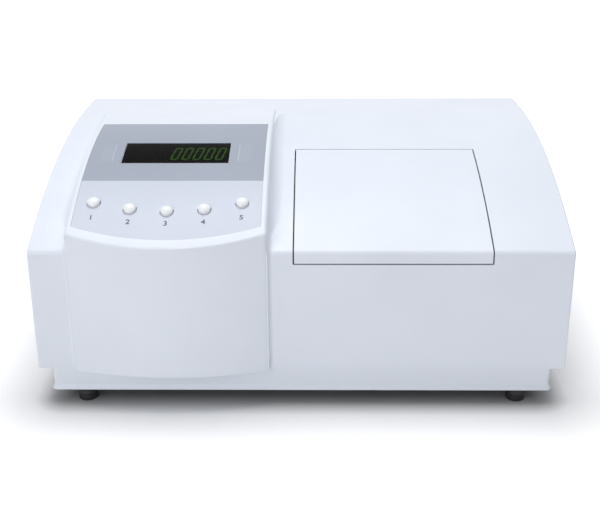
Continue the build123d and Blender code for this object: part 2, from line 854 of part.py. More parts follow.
# Lid, seal and hinge
def chamber_lid():
    """A shell that follows the roof and turns down over the shoulder, ribbed underneath."""
    lip_z = z_shoulder - lid_lip
    skin = body_layer(0, lid_wall, lip_z - 10, lid_x0, lid_x1)
    skin = skin & block(lid_x0, lid_x1, front_y - 1, lid_back_y, lip_z, z_crown + 1)
    ribs = body_layer(lid_wall - 0.2, lid_wall + lid_rib_height, lip_z, lid_x0, lid_x1)
    inset = lid_rib_inset
    x0 = lid_x0 + inset
    x1 = lid_x1 - inset
    y0 = front_y + inset + 6
    y1 = front_y + tray_back_depth - inset
    t = lid_rib_wall
    ring = block(x0, x1, y0, y1, lip_z, z_crown)
    ring -= block(x0 + t, x1 - t, y0 + t, y1 - t, lip_z - 1, z_crown + 1)
    third = (x1 - x0) / 3
    for x in (x0 + third, x1 - third):
        ring += block(x - t / 2, x + t / 2, y0, y1, lip_z, z_crown)
    return skin + (ribs & ring)


def lid_seal():
    """A foam strip on the tray's ledge, all round under the lid."""
    layer = body_layer(lid_wall + seal_gap, wall + skin_gap - 2 * seal_gap, z_cover, lid_x0, lid_x1)
    x0 = lid_x0 + tray_ledge
    x1 = lid_x1 - tray_ledge
    y0 = front_y + mouth_inset
    y1 = front_y + tray_back_depth - 2
    w = seal_width
    ring = block(x0 - w, x1 + w, y0 - w, y1 + w, z_shoulder, z_crown)
    return layer & (ring - block(x0, x1, y0, y1, z_shoulder - 1, z_crown + 1))


hinge_slope = asin((roof_y - lid_back_y) / roof_radius)
hinge_plane = Plane(
    origin=(0, lid_back_y, roof_height(lid_back_y)),
    x_dir=(0, cos(hinge_slope), sin(hinge_slope)),
    z_dir=(1, 0, 0),
)
pivot = hinge_plane * Pos(pivot_behind, -pivot_below, 0)


def lid_hinge_arms():
    """Curved arms: a pad under the lid, a quarter ring round the cover's edge and a web to the pin."""
    roof_under = pivot_below - lid_wall - 2 * seat
    middle = (arm_inner + arm_outer) / 2
    ring = Circle(arm_outer) - Circle(arm_inner)
    ring = ring & (Pos(-arm_outer, -arm_outer) * Rectangle(2 * arm_outer, 2 * arm_outer))
    leg = Pos(-middle, roof_under / 2) * Rectangle(arm_outer - arm_inner, roof_under)
    pad = Pos(-arm_outer, roof_under - 1.25) * Rectangle(2 * (arm_outer - arm_inner), 2.5)
    web = Pos(0, -middle / 2) * Rectangle(2 * arm_web, middle)
    joint = Pos(arm_web / 2, -middle) * Rectangle(arm_web, arm_outer - arm_inner)
    face = ring + leg + pad + web + joint + Circle(arm_boss) - Circle(pin_radius + running)
    arm = extrude(face, arm_width / 2, both=True)
    return group([pivot * Pos(0, 0, x) * arm for x in arm_places])


def hinge_brackets():
    """U-shaped brackets under the roof, one cheek on each side of an arm."""
    roof_under = pivot_below - wall - bracket_sag
    cheek = Pos(1.5, (roof_under - 5) / 2) * Rectangle(13, roof_under + 5)
    cheek -= Circle(pin_radius + running)
    inside = arm_width / 2 + hinge_side_gap
    plate = Pos(3.5, roof_under - bracket_plate / 2) * Rectangle(17, bracket_plate)
    bracket = extrude(plate, inside + 9, both=True)
    for side in (-1, 1):
        middle = inside + bracket_cheek / 2
        bracket += Pos(0, 0, side * middle) * extrude(cheek, bracket_cheek / 2, both=True)
    return group([pivot * Pos(0, 0, x) * bracket for x in arm_places])


def hinge_pins():
    """Pins through the brackets and arms, with a head at each end."""
    inside = arm_width / 2 + hinge_side_gap + bracket_cheek
    pin = Cylinder(pin_radius, 2 * inside + 1)
    for side in (-1, 1):
        pin += Pos(0, 0, side * (inside + 1)) * Cylinder(3.2, 1.6)
    return group([pivot * Pos(0, 0, x) * pin for x in arm_places])


# Sample chamber
tray_x0 = lid_x0 - tray_end_room
tray_x1 = lid_x1 + tray_end_room
tray_front_y = front_y + wall + skin_gap
tray_back_y = front_y + tray_back_depth


def chamber_tray():
    """The black well under the lid: floor, four walls and a ledge that follows the roof."""
    under = wall + skin_gap
    t = tray_wall
    ledge = body_layer(under, under + t, z_cover, tray_x0 - tray_overlap, tray_x1 + tray_overlap)
    ledge = ledge & block(-half_width, half_width, tray_front_y - 1, tray_back_y + 10,
                          z_shoulder - 25, z_crown)
    inside = slab(body_face(under + t, bench_top), tray_x0 - t, tray_x1 + t)
    well = inside & block(tray_x0 - t, tray_x1 + t, tray_front_y, tray_back_y + t, bench_top, z_crown)
    well += block(tray_x0 - t, tray_x1 + t, tray_front_y, tray_front_y + t + 0.5, bench_top, z_shoulder - 20)
    well -= block(tray_x0, tray_x1, tray_front_y + t, tray_back_y, bench_top + t, z_crown)
    mouth = block(lid_x0 + tray_ledge, lid_x1 - tray_ledge, front_y + mouth_inset, tray_back_y - 2,
                  bench_top + 5, z_crown)
    tray = well + (ledge - mouth)
    tray -= rod_x(tray_x0 - 5, tray_x1 + 5, axis_y, axis_z, light_radius)
    return tray


def tube_trough():
    """A long V-shaped trough that centres the sample tube on the light's path."""
    apex = axis_z - tube_radius * sqrt(2)
    base = bench_top + tray_wall
    t = 3.0
    half = trough_half
    rail = half - 8
    top = apex + rail
    outline = make_face(Polyline(
        (axis_y - half, base), (axis_y + half, base), (axis_y + half, base + 4), (axis_y + rail, base + 4),
        (axis_y + rail, top), (axis_y, apex), (axis_y - rail, top), (axis_y - rail, base + 4),
        (axis_y - half, base + 4), close=True))
    trough = slab(outline, tray_x0 + 8, tray_x1 - 8)
    tunnel = make_face(Polyline(
        (axis_y - rail + t, base + 4), (axis_y + rail - t, base + 4), (axis_y + rail - t, top - 2.4 * t),
        (axis_y, apex - 1.6 * t), (axis_y - rail + t, top - 2.4 * t), close=True))
    return trough - slab(tunnel, tray_x0, tray_x1)


def chamber_windows():
    """Glass discs over the light holes in the chamber's end walls."""
    t = tray_wall
    left = rod_x(tray_x0 - t - window_disc_thick, tray_x0 - t, axis_y, axis_z, window_disc_radius)
    right = rod_x(tray_x1 + t, tray_x1 + t + window_disc_thick, axis_y, axis_z, window_disc_radius)
    return group([left, right])


# Optical train
def optical_bench():
    """A cast inverted channel with foot flanges and cross ribs."""
    y0 = axis_y - bench_width / 2
    y1 = axis_y + bench_width / 2
    t = bench_wall
    bench = block(bench_x0, bench_x1, y0, y1, floor_z, bench_top)
    bench -= block(bench_x0 + t, bench_x1 - t, y0 + t, y1 - t, floor_z - 1, bench_top - bench_plate)
    flange = block(bench_x0, bench_x1, y0 - bench_foot, y1 + bench_foot, floor_z, floor_z + bench_foot_thick)
    bench += flange - block(bench_x0 + t, bench_x1 - t, y0 + t, y1 - t, floor_z - 1, floor_z + 20)
    step = (bench_x1 - bench_x0) / (bench_rib_count + 1)
    for i in range(bench_rib_count):
        x = bench_x0 + step * (i + 1)
        bench += block(x - 2.5, x + 2.5, y0 + t - 1, y1 - t + 1, floor_z + 10, bench_top - 1)
    for i in range(bench_rib_count + 1):
        x = bench_x0 + step * (i + 0.5)
        window = extrude(SlotOverall(40, 24), bench_width, both=True)
        bench -= Pos(x, axis_y, (floor_z + bench_top) / 2) * Rot(90, 0, 0) * window
    return bench


def ring_mount(x0, x1, bore, outer, half=15.0):
    """A pedestal on the bench with a bored ring round the light's path."""
    mount = rod_x(x0, x1, axis_y, axis_z, outer)
    mount += block(x0, x1, axis_y - half, axis_y + half, bench_top, axis_z)
    return mount - rod_x(x0 - 1, x1 + 1, axis_y, axis_z, bore)


def tube_x(x0, x1, bore, outer):
    """A ring or tube on the light's path."""
    return rod_x(x0, x1, axis_y, axis_z, outer) - rod_x(x0 - 1, x1 + 1, axis_y, axis_z, bore)


def lens_x(x0, x1, radius, bulge):
    """A lens on the light's path, its left face domed and its right face flat."""
    sphere_r = (radius**2 + bulge**2) / (2 * bulge)
    ball = Pos(x0 + sphere_r, axis_y, axis_z) * Sphere(sphere_r)
    return rod_x(x0, x1, axis_y, axis_z, radius) & ball


condenser_x0 = tray_x1 + tray_wall + window_disc_thick + mount_gap
condenser_x1 = condenser_x0 + 17.0
lamp_x0 = condenser_x1 + 0.4
lamp_x1 = half_width - wall - 5.0
lamp_xm = (lamp_x0 + lamp_x1) / 2


def condenser_mount():
    """The ring that carries the condenser lens and the polarizer."""
    return ring_mount(condenser_x0, condenser_x1, cell_radius, mount_radius)


def condenser_lens():
    """The lens that gathers the lamp's light."""
    return lens_x(condenser_x1 - 7, condenser_x1 - 1, cell_radius - running, 2.4)


def polarizer():
    """The fixed polarizing disc in its cell."""
    return rod_x(condenser_x0 + 1, condenser_x0 + 5, axis_y, axis_z, cell_radius - running)


def lamp_housing():
    """A sheet-metal lamp house with a light hole and a vented top."""
    y0 = axis_y - 32
    y1 = axis_y + 32
    top = 203.0
    t = 1.5
    box = block(lamp_x0, lamp_x1, y0, y1, bench_top, top)
    box -= block(lamp_x0 + t, lamp_x1 - t, y0 + t, y1 - t, bench_top - 1, top - t)
    box -= rod_x(lamp_x0 - 1, lamp_x0 + t + 1, axis_y, axis_z, 11)
    for i in range(6):
        y = y0 + 10 + i * 9
        box -= block(lamp_x0 + 8, lamp_x1 - 8, y - 1.5, y + 1.5, top - t - 1, top + 1)
    return box


def lamp_socket():
    """The ceramic socket that carries the lamp on the bench."""
    socket = rod_z(bench_top, bench_top + 5, lamp_xm, axis_y, 17)
    socket += rod_z(bench_top + 4, bench_top + 18, lamp_xm, axis_y, 13)
    return socket - rod_z(bench_top + 9, bench_top + 19, lamp_xm, axis_y, 9 + running)


def sodium_lamp():
    """The spectral lamp: a plugged base and a domed glass bulb with a thin wall."""
    base = bench_top + 9
    neck = bench_top + 22
    top = 192.0
    r = 15.0
    bulb = rod_z(neck, top - r, lamp_xm, axis_y, r) + Pos(lamp_xm, axis_y, top - r) * Sphere(r)
    hollow = rod_z(neck + 2, top - r, lamp_xm, axis_y, r - 1.2)
    hollow += Pos(lamp_xm, axis_y, top - r) * Sphere(r - 1.2)
    arc_tube = rod_z(neck + 1, top - r - 6, lamp_xm, axis_y, 4.5)
    return bulb - hollow + arc_tube + rod_z(base, neck + 1, lamp_xm, axis_y, 9)


modulator_x1 = tray_x0 - tray_wall - window_disc_thick - mount_gap
modulator_x0 = modulator_x1 - 42.0


def modulator_bobbin():
    """Two square cheeks standing on the bench and the tube between them."""
    bobbin = tube_x(modulator_x0, modulator_x1, 6.0, 9.0)
    for x in (modulator_x0, modulator_x1 - 3):
        cheek = block(x, x + 3, axis_y - 23, axis_y + 23, bench_top, axis_z + 23)
        bobbin += cheek - rod_x(x - 1, x + 4, axis_y, axis_z, 8)
    return bobbin


def modulator_coil():
    """The winding that swings the plane of polarization to and fro."""
    return tube_x(modulator_x0 + 3 + seat, modulator_x1 - 3 - seat, 9.0 + running, 21.0)


def modulator_core():
    """The glass rod inside the coil."""
    return rod_x(modulator_x0 + 1, modulator_x1 - 1, axis_y, axis_z, 6.0 - running)


drum_x1 = modulator_x0 - 1.0
drum_x0 = 2 * wheel_x - drum_x1
bearing_x1 = drum_x1 - bearing_margin
bearing_x0 = drum_x0 + bearing_margin


def analyzer_bearings():
    """Two pedestals that carry the turning analyzer drum."""
    bore = drum_radius + running + bush_wall + running
    right = ring_mount(bearing_x1 - bearing_length, bearing_x1, bore, bore + 5.4, 11)
    left = ring_mount(bearing_x0, bearing_x0 + bearing_length, bore, bore + 5.4, 11)
    return group([left, right])


def bearing_bushes():
    """Bronze bushes in the two pedestals."""
    bore = drum_radius + running
    right = tube_x(bearing_x1 - bearing_length, bearing_x1, bore, bore + bush_wall)
    left = tube_x(bearing_x0, bearing_x0 + bearing_length, bore, bore + bush_wall)
    return group([left, right])


def analyzer_drum():
    """The turning tube, with a collar between its bearings that carries the worm wheel."""
    drum = tube_x(drum_x0, drum_x1, drum_bore, drum_radius)
    collar_x0 = bearing_x0 + bearing_length + 2 * seat
    collar_x1 = bearing_x1 - bearing_length - 2 * seat
    drum += tube_x(collar_x0, collar_x1, drum_bore, drum_collar)
    stop_x = wheel_x + wheel_face / 2 + seat
    return drum + tube_x(stop_x, stop_x + 2, drum_bore, drum_collar + 3)


def analyzer_disc():
    """The analyzing disc, held in the middle of the drum."""
    return rod_x(wheel_x - 3, wheel_x + 3, axis_y, axis_z, drum_bore - running)


wheel_pitch_radius = wheel_teeth * wheel_module / 2
wheel_tip = wheel_pitch_radius + wheel_module
wheel_root = wheel_pitch_radius - 1.25 * wheel_module
worm_pitch = pi * wheel_module
worm_z = axis_z - wheel_pitch_radius - worm_pitch_radius
worm_tip = worm_pitch_radius + wheel_module
worm_root = worm_pitch_radius - 1.25 * wheel_module
thread_lead = degrees(asin(worm_pitch / sqrt(worm_pitch**2 + (2 * pi * worm_pitch_radius) ** 2)))
pressure = radians(20)
worm_phase = 270 - 360 * (worm_thread_length / 2 / worm_pitch % 1)
bracket_y0 = axis_y - worm_thread_length / 2 - bracket_reach
bracket_y1 = axis_y + worm_thread_length / 2 + bracket_reach
motor_y0 = bracket_y1 + 2 * seat


def worm_wheel():
    """A spoked brass wheel whose teeth are gashed at the worm's lead angle."""
    wheel = tube_x(wheel_x - wheel_face / 2, wheel_x + wheel_face / 2, drum_collar + running, wheel_tip)
    face_recess = tube_x(wheel_x + 2, wheel_x + wheel_face, 17.0, wheel_root - 3.5)
    wheel -= face_recess
    wheel -= tube_x(wheel_x - wheel_face, wheel_x - 2, 17.0, wheel_root - 3.5)
    for i in range(6):
        turn = Pos(0, axis_y, axis_z) * Rot(i * 60 + 30, 0, 0)
        wheel -= turn * Pos(wheel_x, 0, 21) * Rot(0, 90, 0) * Cylinder(2.6, wheel_face)
    top = wheel_tip + 1
    gap = worm_pitch / 4 + drive_backlash / 2
    top_half = gap + (top - wheel_pitch_radius) * tan(pressure)
    root_half = gap - (wheel_pitch_radius - wheel_root) * tan(pressure)
    gash = make_face(Polyline(
        (-top_half, top), (top_half, top), (root_half, wheel_root), (-root_half, wheel_root), close=True))
    cutter = extrude(Plane.YZ * gash, wheel_face, both=True)
    cutter = Rot(0, 0, -thread_lead) * cutter
    pitch_angle = 360 / wheel_teeth
    cutters = []
    for i in range(wheel_teeth):
        turn = Pos(wheel_x, axis_y, axis_z) * Rot(180 + i * pitch_angle, 0, 0)
        cutters.append(turn * cutter)
    return wheel - cutters


def worm_shaft():
    """The worm with its real helical thread, between two journals, and its coupling to the motor."""
    y0 = axis_y - worm_thread_length / 2
    y1 = axis_y + worm_thread_length / 2
    shaft = rod_y(bracket_y0 - 2, motor_y0 + 8, wheel_x, worm_z, shaft_radius)
    shaft += rod_y(y0 - 2, y1 + 2, wheel_x, worm_z, worm_root)
    shaft += rod_y(bracket_y0 + cheek_thick + 0.2, bracket_y0 + cheek_thick + 2, wheel_x, worm_z, 6.0)
    shaft += rod_y(bracket_y1 - cheek_thick - 2, bracket_y1 - cheek_thick - 0.2, wheel_x, worm_z, 6.0)
    low = worm_pitch_radius - worm_root + 0.3
    high = worm_tip - worm_pitch_radius
    thread_half = worm_pitch / 4 - drive_backlash / 2
    root_half = thread_half + low * tan(pressure)
    tip_half = thread_half - high * tan(pressure)
    base = worm_pitch_radius
    section = make_face(Polyline(
        (base - low, -root_half), (base - low, root_half), (base + high, tip_half), (base + high, -tip_half),
        close=True))
    helix = Helix(worm_pitch, worm_thread_length, worm_pitch_radius)
    thread = sweep(Plane.XZ * section, path=helix, is_frenet=True)
    turn = Pos(wheel_x, y0, worm_z) * Rot(-90, 0, 0) * Rot(0, 0, worm_phase)
    return shaft + turn * thread


def worm_bracket():
    """A bridge on the bench whose two cheeks carry the worm's journals."""
    top = worm_z + 8
    x0 = wheel_x - bracket_half
    x1 = wheel_x + bracket_half
    bracket = block(x0, x1, bracket_y0, bracket_y1, bench_top, bench_top + 3)
    for y in (bracket_y0, bracket_y1 - cheek_thick):
        bracket += block(x0, x1, y, y + cheek_thick, bench_top, top)
    bracket -= rod_y(bracket_y0 - 1, bracket_y1 + 1, wheel_x, worm_z, shaft_radius + running)
    return bracket


def servo_motor():
    """The motor that turns the worm, screwed to the bracket."""
    body = rod_y(motor_y0 + 3, motor_y0 + motor_length, wheel_x, worm_z, motor_radius)
    body += block(wheel_x - bracket_half, wheel_x + bracket_half, motor_y0, motor_y0 + 3.5,
                  bench_top + 0.5, worm_z + bracket_half)
    body += rod_y(motor_y0 + motor_length - 1, motor_y0 + motor_length + 3, wheel_x, worm_z, 6)
    return body - rod_y(motor_y0 - 1, motor_y0 + 9, wheel_x, worm_z, shaft_radius + running)


filter_x1 = drum_x0 - 1.0
filter_x0 = filter_x1 - 20.0
detector_x1 = filter_x0 - 0.5
detector_x0 = bench_x0 + 4.0


def filter_mount():
    """The ring that carries the objective lens and the colour filter."""
    return ring_mount(filter_x0, filter_x1, cell_radius, mount_radius)


def objective_lens():
    """The lens that brings the light to the detector."""
    return lens_x(filter_x1 - 8, filter_x1 - 2, cell_radius - running, 2.4)


def colour_filter():
    """The narrow-band filter for the lamp's yellow line."""
    return rod_x(filter_x0 + 2, filter_x0 + 6, axis_y, axis_z, cell_radius - running)


def detector_housing():
    """The dark can round the light detector, on two saddles."""
    can = rod_x(detector_x0, detector_x1, axis_y, axis_z, 22)
    for x in (detector_x0 + 8, detector_x1 - 20):
        can += block(x, x + 12, axis_y - 15, axis_y + 15, bench_top, axis_z)
    can -= rod_x(detector_x0 + 4, detector_x1 - 3, axis_y, axis_z, 19.5)
    return can - rod_x(detector_x1 - 4, detector_x1 + 1, axis_y, axis_z, light_radius)


def detector_tube():
    """The photomultiplier and its socket."""
    tube = rod_x(detector_x0 + 22, detector_x1 - 8, axis_y, axis_z, 14)
    return tube + rod_x(detector_x0 + 4, detector_x0 + 23, axis_y, axis_z, 19.5 - running)


# Electrics on the pan's floor
def power_transformer():
    """A laminated core on its clamp foot, with the winding round its middle limb."""
    x0 = transformer_x
    y0 = front_y + transformer_depth
    core = block(x0, x0 + 76, y0, y0 + 36, floor_z + 2, floor_z + 66)
    core -= block(x0 + 13, x0 + 26, y0 - 1, y0 + 37, floor_z + 15, floor_z + 53)
    core -= block(x0 + 50, x0 + 63, y0 - 1, y0 + 37, floor_z + 15, floor_z + 53)
    foot = block(x0 - 10, x0 + 86, y0 - 2, y0 + 38, floor_z, floor_z + 2)
    coil = block(x0 + 13.3, x0 + 62.7, y0 - 12, y0 + 48, floor_z + 15.3, floor_z + 52.7)
    coil = fillet(coil.edges().filter_by(Axis.Z), 8)
    coil -= block(x0 + 25.9, x0 + 50.1, y0 - 0.1, y0 + 36.1, floor_z + 15, floor_z + 53)
    return group([core + foot, coil])


def lamp_ballast():
    """The choke that limits the lamp's current, in its steel channel."""
    x0 = ballast_x
    y0 = front_y + ballast_depth
    body = block(x0 + 14, x0 + 76, y0, y0 + 50, floor_z, floor_z + 42)
    body = fillet(body.edges().filter_by(Axis.X), 3)
    return body + block(x0, x0 + 90, y0 + 4, y0 + 46, floor_z, floor_z + 2)


board_x1 = board_x0 + board_length
board_y0 = front_y + board_depth0
board_y1 = board_y0 + board_width
board_z = floor_z + board_lift


def main_board():
    """The main circuit board with its larger components."""
    board = block(board_x0, board_x1, board_y0, board_y1, board_z, board_z + board_thick)
    top = board_z + board_thick
    for i in range(3):
        board += rod_z(top - 0.1, top + 24, board_x0 + 24 + i * 22, board_y1 - 22, 8.5)
    board += block(board_x0 + 90, board_x0 + 130, board_y0 + 60, board_y0 + 74, top - 0.1, top + 4)
    board += block(board_x1 - 60, board_x1 - 20, board_y1 - 40, board_y1 - 36, top - 0.1, top + 30)
    board += block(board_x0 + 40, board_x0 + 60, board_y0 + 40, board_y0 + 60, top - 0.1, top + 3)
    board += block(board_x0 + 10, board_x0 + 90, board_y0 + 6, board_y0 + 14, top - 0.1, top + 9)
    for x, y in board_holes():
        board -= rod_z(board_z - 1, top + 1, x, y, board_hole)
    return board


def board_holes():
    """Centres of the main board's corner holes."""
    m = board_hole_margin
    return [(x, y) for x in (board_x0 + m, board_x1 - m) for y in (board_y0 + m, board_y1 - m)]


def board_spacers():
    """Pillars between the pan's floor and the main board."""
    return group([rod_z(floor_z, board_z, x, y, 3.2) for x, y in board_holes()])


# Rocker switches
rocker_face_x = recess_x + rocker_rise
rocker_pivot_x = rocker_face_x - rocker_drop


def switch_bodies():
    """Two switch housings: a bezel on the recess's floor and a body behind it."""
    x = recess_x
    z = recess_z
    w = rocker_width / 2
    n = rocker_length / 2
    wide = bezel / 2 - 2 * seat
    pieces = []
    for y in rocker_ys:
        rim = block(x, x + 2, y - w - bezel, y + w + bezel, z - n - bezel, z + n + bezel)
        rim = fillet(rim.edges().filter_by(Axis.X), 1.5)
        body = rim + block(x - 24, x + 0.5, y - w - wide, y + w + wide, z - n - wide, z + n + wide)
        body -= block(x - 14, x + 3, y - w - 0.3, y + w + 0.3, z - n - 0.6, z + n + 0.6)
        body -= rod_y(y - w - 1.4, y + w + 1.4, rocker_pivot_x, z, rocker_pin)
        for tab in (z - 7, z, z + 7):
            body += block(x - 32, x - 23.5, y - 2.4, y + 2.4, tab - 0.4, tab + 0.4)
        pieces.append(body)
    return group(pieces)


def rocker(y):
    """A rocker: two flats meeting at a shallow V, round below, turned to its off position."""
    n = rocker_length / 2
    drop = n * tan(radians(rocker_tilt))
    depth = rocker_drop
    outline = make_face([
        Line((-n, depth), (0, depth - drop)),
        Line((0, depth - drop), (n, depth)),
        Line((n, depth), (n - 1.2, -1.0)),
        ThreePointArc((n - 1.2, -1.0), (0, -6.0), (-n + 1.2, -1.0)),
        Line((-n + 1.2, -1.0), (-n, depth)),
    ])
    body = extrude(Plane.XZ * outline, rocker_width / 2, both=True)
    bore = Rot(90, 0, 0) * Cylinder(rocker_pin, rocker_width + 2)
    turn = Pos(rocker_pivot_x, y, recess_z) * Rot(0, 90, 0) * Rot(0, rocker_tilt, 0)
    return turn * (body - bore)


def rocker_pins():
    """Pivot pins of the rockers, let into the switch bodies' side walls."""
    reach = rocker_width / 2 + 1.4
    radius = rocker_pin - running
    return group([rod_y(y - reach, y + reach, rocker_pivot_x, recess_z, radius) for y in rocker_ys])


# Every sub-part under its own name
os.makedirs("parts", exist_ok=True)

parts = {
    "upper_cover": upper_cover(),
    "base_pan": base_pan(),
    "rear_panel": rear_panel(),
    "rubber_feet": rubber_feet(),
    "housing_screws": housing_screws(),
    "mains_inlet": mains_inlet(),
    "fuse_holder": fuse_holder(),
    "serial_port": serial_port(),
    "display_overlay": display_overlay(),
    "keypad_overlay": keypad_overlay(),
    "display_window": display_window(),
    "display_digits": display_digits(),
    "display_board": display_board(),
    "key_switches": key_switches(),
    "keypad_board": keypad_board(),
    "panel_studs": panel_studs(),
    "chamber_lid": chamber_lid(),
    "lid_seal": lid_seal(),
    "lid_hinge_arms": lid_hinge_arms(),
    "hinge_brackets": hinge_brackets(),
    "hinge_pins": hinge_pins(),
    "chamber_tray": chamber_tray(),
    "tube_trough": tube_trough(),
    "chamber_windows": chamber_windows(),
    "optical_bench": optical_bench(),
    "condenser_mount": condenser_mount(),
    "condenser_lens": condenser_lens(),
    "polarizer": polarizer(),
    "lamp_housing": lamp_housing(),
    "lamp_socket": lamp_socket(),
    "sodium_lamp": sodium_lamp(),
    "modulator_bobbin": modulator_bobbin(),
    "modulator_coil": modulator_coil(),
    "modulator_core": modulator_core(),
    "analyzer_bearings": analyzer_bearings(),
    "bearing_bushes": bearing_bushes(),
    "analyzer_drum": analyzer_drum(),
    "analyzer_disc": analyzer_disc(),
    "worm_wheel": worm_wheel(),
    "worm_shaft": worm_shaft(),
    "worm_bracket": worm_bracket(),
    "servo_motor": servo_motor(),
    "filter_mount": filter_mount(),
    "objective_lens": objective_lens(),
    "colour_filter": colour_filter(),
    "detector_housing": detector_housing(),
    "detector_tube": detector_tube(),
    "power_transformer": power_transformer(),
    "lamp_ballast": lamp_ballast(),
    "main_board": main_board(),
    "board_spacers": board_spacers(),
    "switch_bodies": switch_bodies(),
    "rocker_pins": rocker_pins(),
    "power_rocker": rocker(rocker_ys[0]),
    "lamp_rocker": rocker(rocker_ys[1]),
}
for i, place in enumerate(key_places()):
    parts[f"key_{i + 1}"] = key(place)

for name, solid in parts.items():
    export_step(solid, f"parts/{name}.step")
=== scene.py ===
# %% [markdown]
# Bench polarimeter, the visible finish.
#
# The instrument's pieces come from its engineering model, which is loaded here as a fixed frame.
# Every piece already stands at its real place and size, in metres. This lesson gives each surface
# its finish, and makes the pieces whose looks need a finer mesh than the engineering model has.

import json
import math

import bmesh
import bpy
import numpy as np
from mathutils import Matrix, Vector

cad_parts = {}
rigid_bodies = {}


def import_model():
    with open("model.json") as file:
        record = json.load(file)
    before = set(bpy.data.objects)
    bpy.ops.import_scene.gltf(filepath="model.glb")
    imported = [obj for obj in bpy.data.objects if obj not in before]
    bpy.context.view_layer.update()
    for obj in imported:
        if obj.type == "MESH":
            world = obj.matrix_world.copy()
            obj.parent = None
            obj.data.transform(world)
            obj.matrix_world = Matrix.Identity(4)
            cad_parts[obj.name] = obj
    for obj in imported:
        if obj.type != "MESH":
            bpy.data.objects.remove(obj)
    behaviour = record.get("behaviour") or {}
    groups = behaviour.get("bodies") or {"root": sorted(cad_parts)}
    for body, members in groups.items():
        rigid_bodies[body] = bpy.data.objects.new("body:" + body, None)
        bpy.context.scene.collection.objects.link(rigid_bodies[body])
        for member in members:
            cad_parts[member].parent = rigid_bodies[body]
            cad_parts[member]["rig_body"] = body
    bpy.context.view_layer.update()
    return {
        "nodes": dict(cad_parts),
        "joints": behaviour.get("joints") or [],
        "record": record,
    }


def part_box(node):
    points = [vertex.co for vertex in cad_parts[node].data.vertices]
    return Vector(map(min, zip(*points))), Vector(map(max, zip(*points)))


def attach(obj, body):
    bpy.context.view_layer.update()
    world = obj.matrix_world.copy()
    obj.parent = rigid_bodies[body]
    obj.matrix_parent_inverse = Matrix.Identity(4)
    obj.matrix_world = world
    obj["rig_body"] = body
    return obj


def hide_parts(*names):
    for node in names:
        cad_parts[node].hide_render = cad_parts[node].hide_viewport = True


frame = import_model()
nodes = frame["nodes"]
slots = {part["node"]: part["material_slot"] for part in frame["record"]["subparts"]}

# %% [markdown]
# The camera comes first, because it decides which details matter.
#
# The upright edges of the instrument lean together towards one vanishing point far below it, which
# gives the camera's pitch and focal length. Six more corners then fix its place. A camera could be
# placed by eye instead, but a fitted one lets every later difference be read as a fault of shape.

# %% Camera at the photograph's viewpoint
PHOTO_WIDTH = 600
FOCAL_PIXELS = 1008.6
SENSOR_WIDTH = 36.0
NEAREST_SEEN = 0.05
CAMERA_PLACE = Vector((0.01317, -1.21617, 0.57892))
PITCH, YAW, ROLL = (math.radians(angle) for angle in (21.408, 0.762, -0.249))

camera_data = bpy.data.cameras.new("camera")
camera_data.sensor_width = SENSOR_WIDTH
camera_data.lens = FOCAL_PIXELS * SENSOR_WIDTH / PHOTO_WIDTH
camera_data.clip_start = NEAREST_SEEN
camera = bpy.data.objects.new("camera", camera_data)
bpy.context.scene.collection.objects.link(camera)

ahead = Vector((-math.sin(YAW) * math.cos(PITCH), math.cos(YAW) * math.cos(PITCH), -math.sin(PITCH)))
right = Vector((math.cos(YAW), math.sin(YAW), 0.0))
up = right.cross(ahead)
rolled_right = right * math.cos(ROLL) + up * math.sin(ROLL)
rolled_up = up * math.cos(ROLL) - right * math.sin(ROLL)
turn = Matrix((rolled_right, rolled_up, -ahead)).transposed()
camera.matrix_world = Matrix.Translation(CAMERA_PLACE) @ turn.to_4x4()
bpy.context.scene.camera = camera
print("lens", round(camera_data.lens, 1), "mm")

# %% [markdown]
# Shader maths reads best as plain arithmetic. The class below wraps one socket of a node tree, and
# its operators add the Math nodes, so `1 - mask * 0.3` means what it says. Node groups could hide
# the same wiring, but an expression shows the formula in one line.


# %% Sockets as values
class Value:
    """A number that varies over a surface: one output socket with arithmetic."""

    def __init__(self, tree, socket):
        self.tree = tree
        self.socket = socket

    def math(self, operation, *others, clamp=False):
        """A Math node on this value and others."""
        node = self.tree.nodes.new("ShaderNodeMath")
        node.operation = operation
        node.use_clamp = clamp
        for entry, value in zip(node.inputs, (self, *others)):
            self.feed(entry, value)
        return Value(self.tree, node.outputs[0])

    def feed(self, entry, value):
        """Links a value to an input, or sets a plain number, vector or colour there."""
        if isinstance(value, Value):
            self.tree.links.new(value.socket, entry)
        else:
            entry.default_value = value

    def __add__(self, other):
        return self.math("ADD", other)

    __radd__ = __add__

    def __mul__(self, other):
        return self.math("MULTIPLY", other)

    __rmul__ = __mul__

    def __sub__(self, other):
        return self.math("SUBTRACT", other)

    def __rsub__(self, other):
        return self.math("MULTIPLY", -1.0).math("ADD", other)

    def ramp(self, low, high):
        """0 below low, 1 above high, and (value - low) / (high - low) between them."""
        return ((self - low) * (1.0 / (high - low))).math("ADD", 0.0, clamp=True)


print("values ready")

# %% [markdown]
# A finish is one material. What is the same all over a surface is set on the shader itself, and
# what varies is linked in. Every other kind of node comes from one method, which keeps the wiring
# in one place. Patterns follow object coordinates, which are metres here, so a pattern's scale is a
# number of features per metre and stays right on a piece of any size.


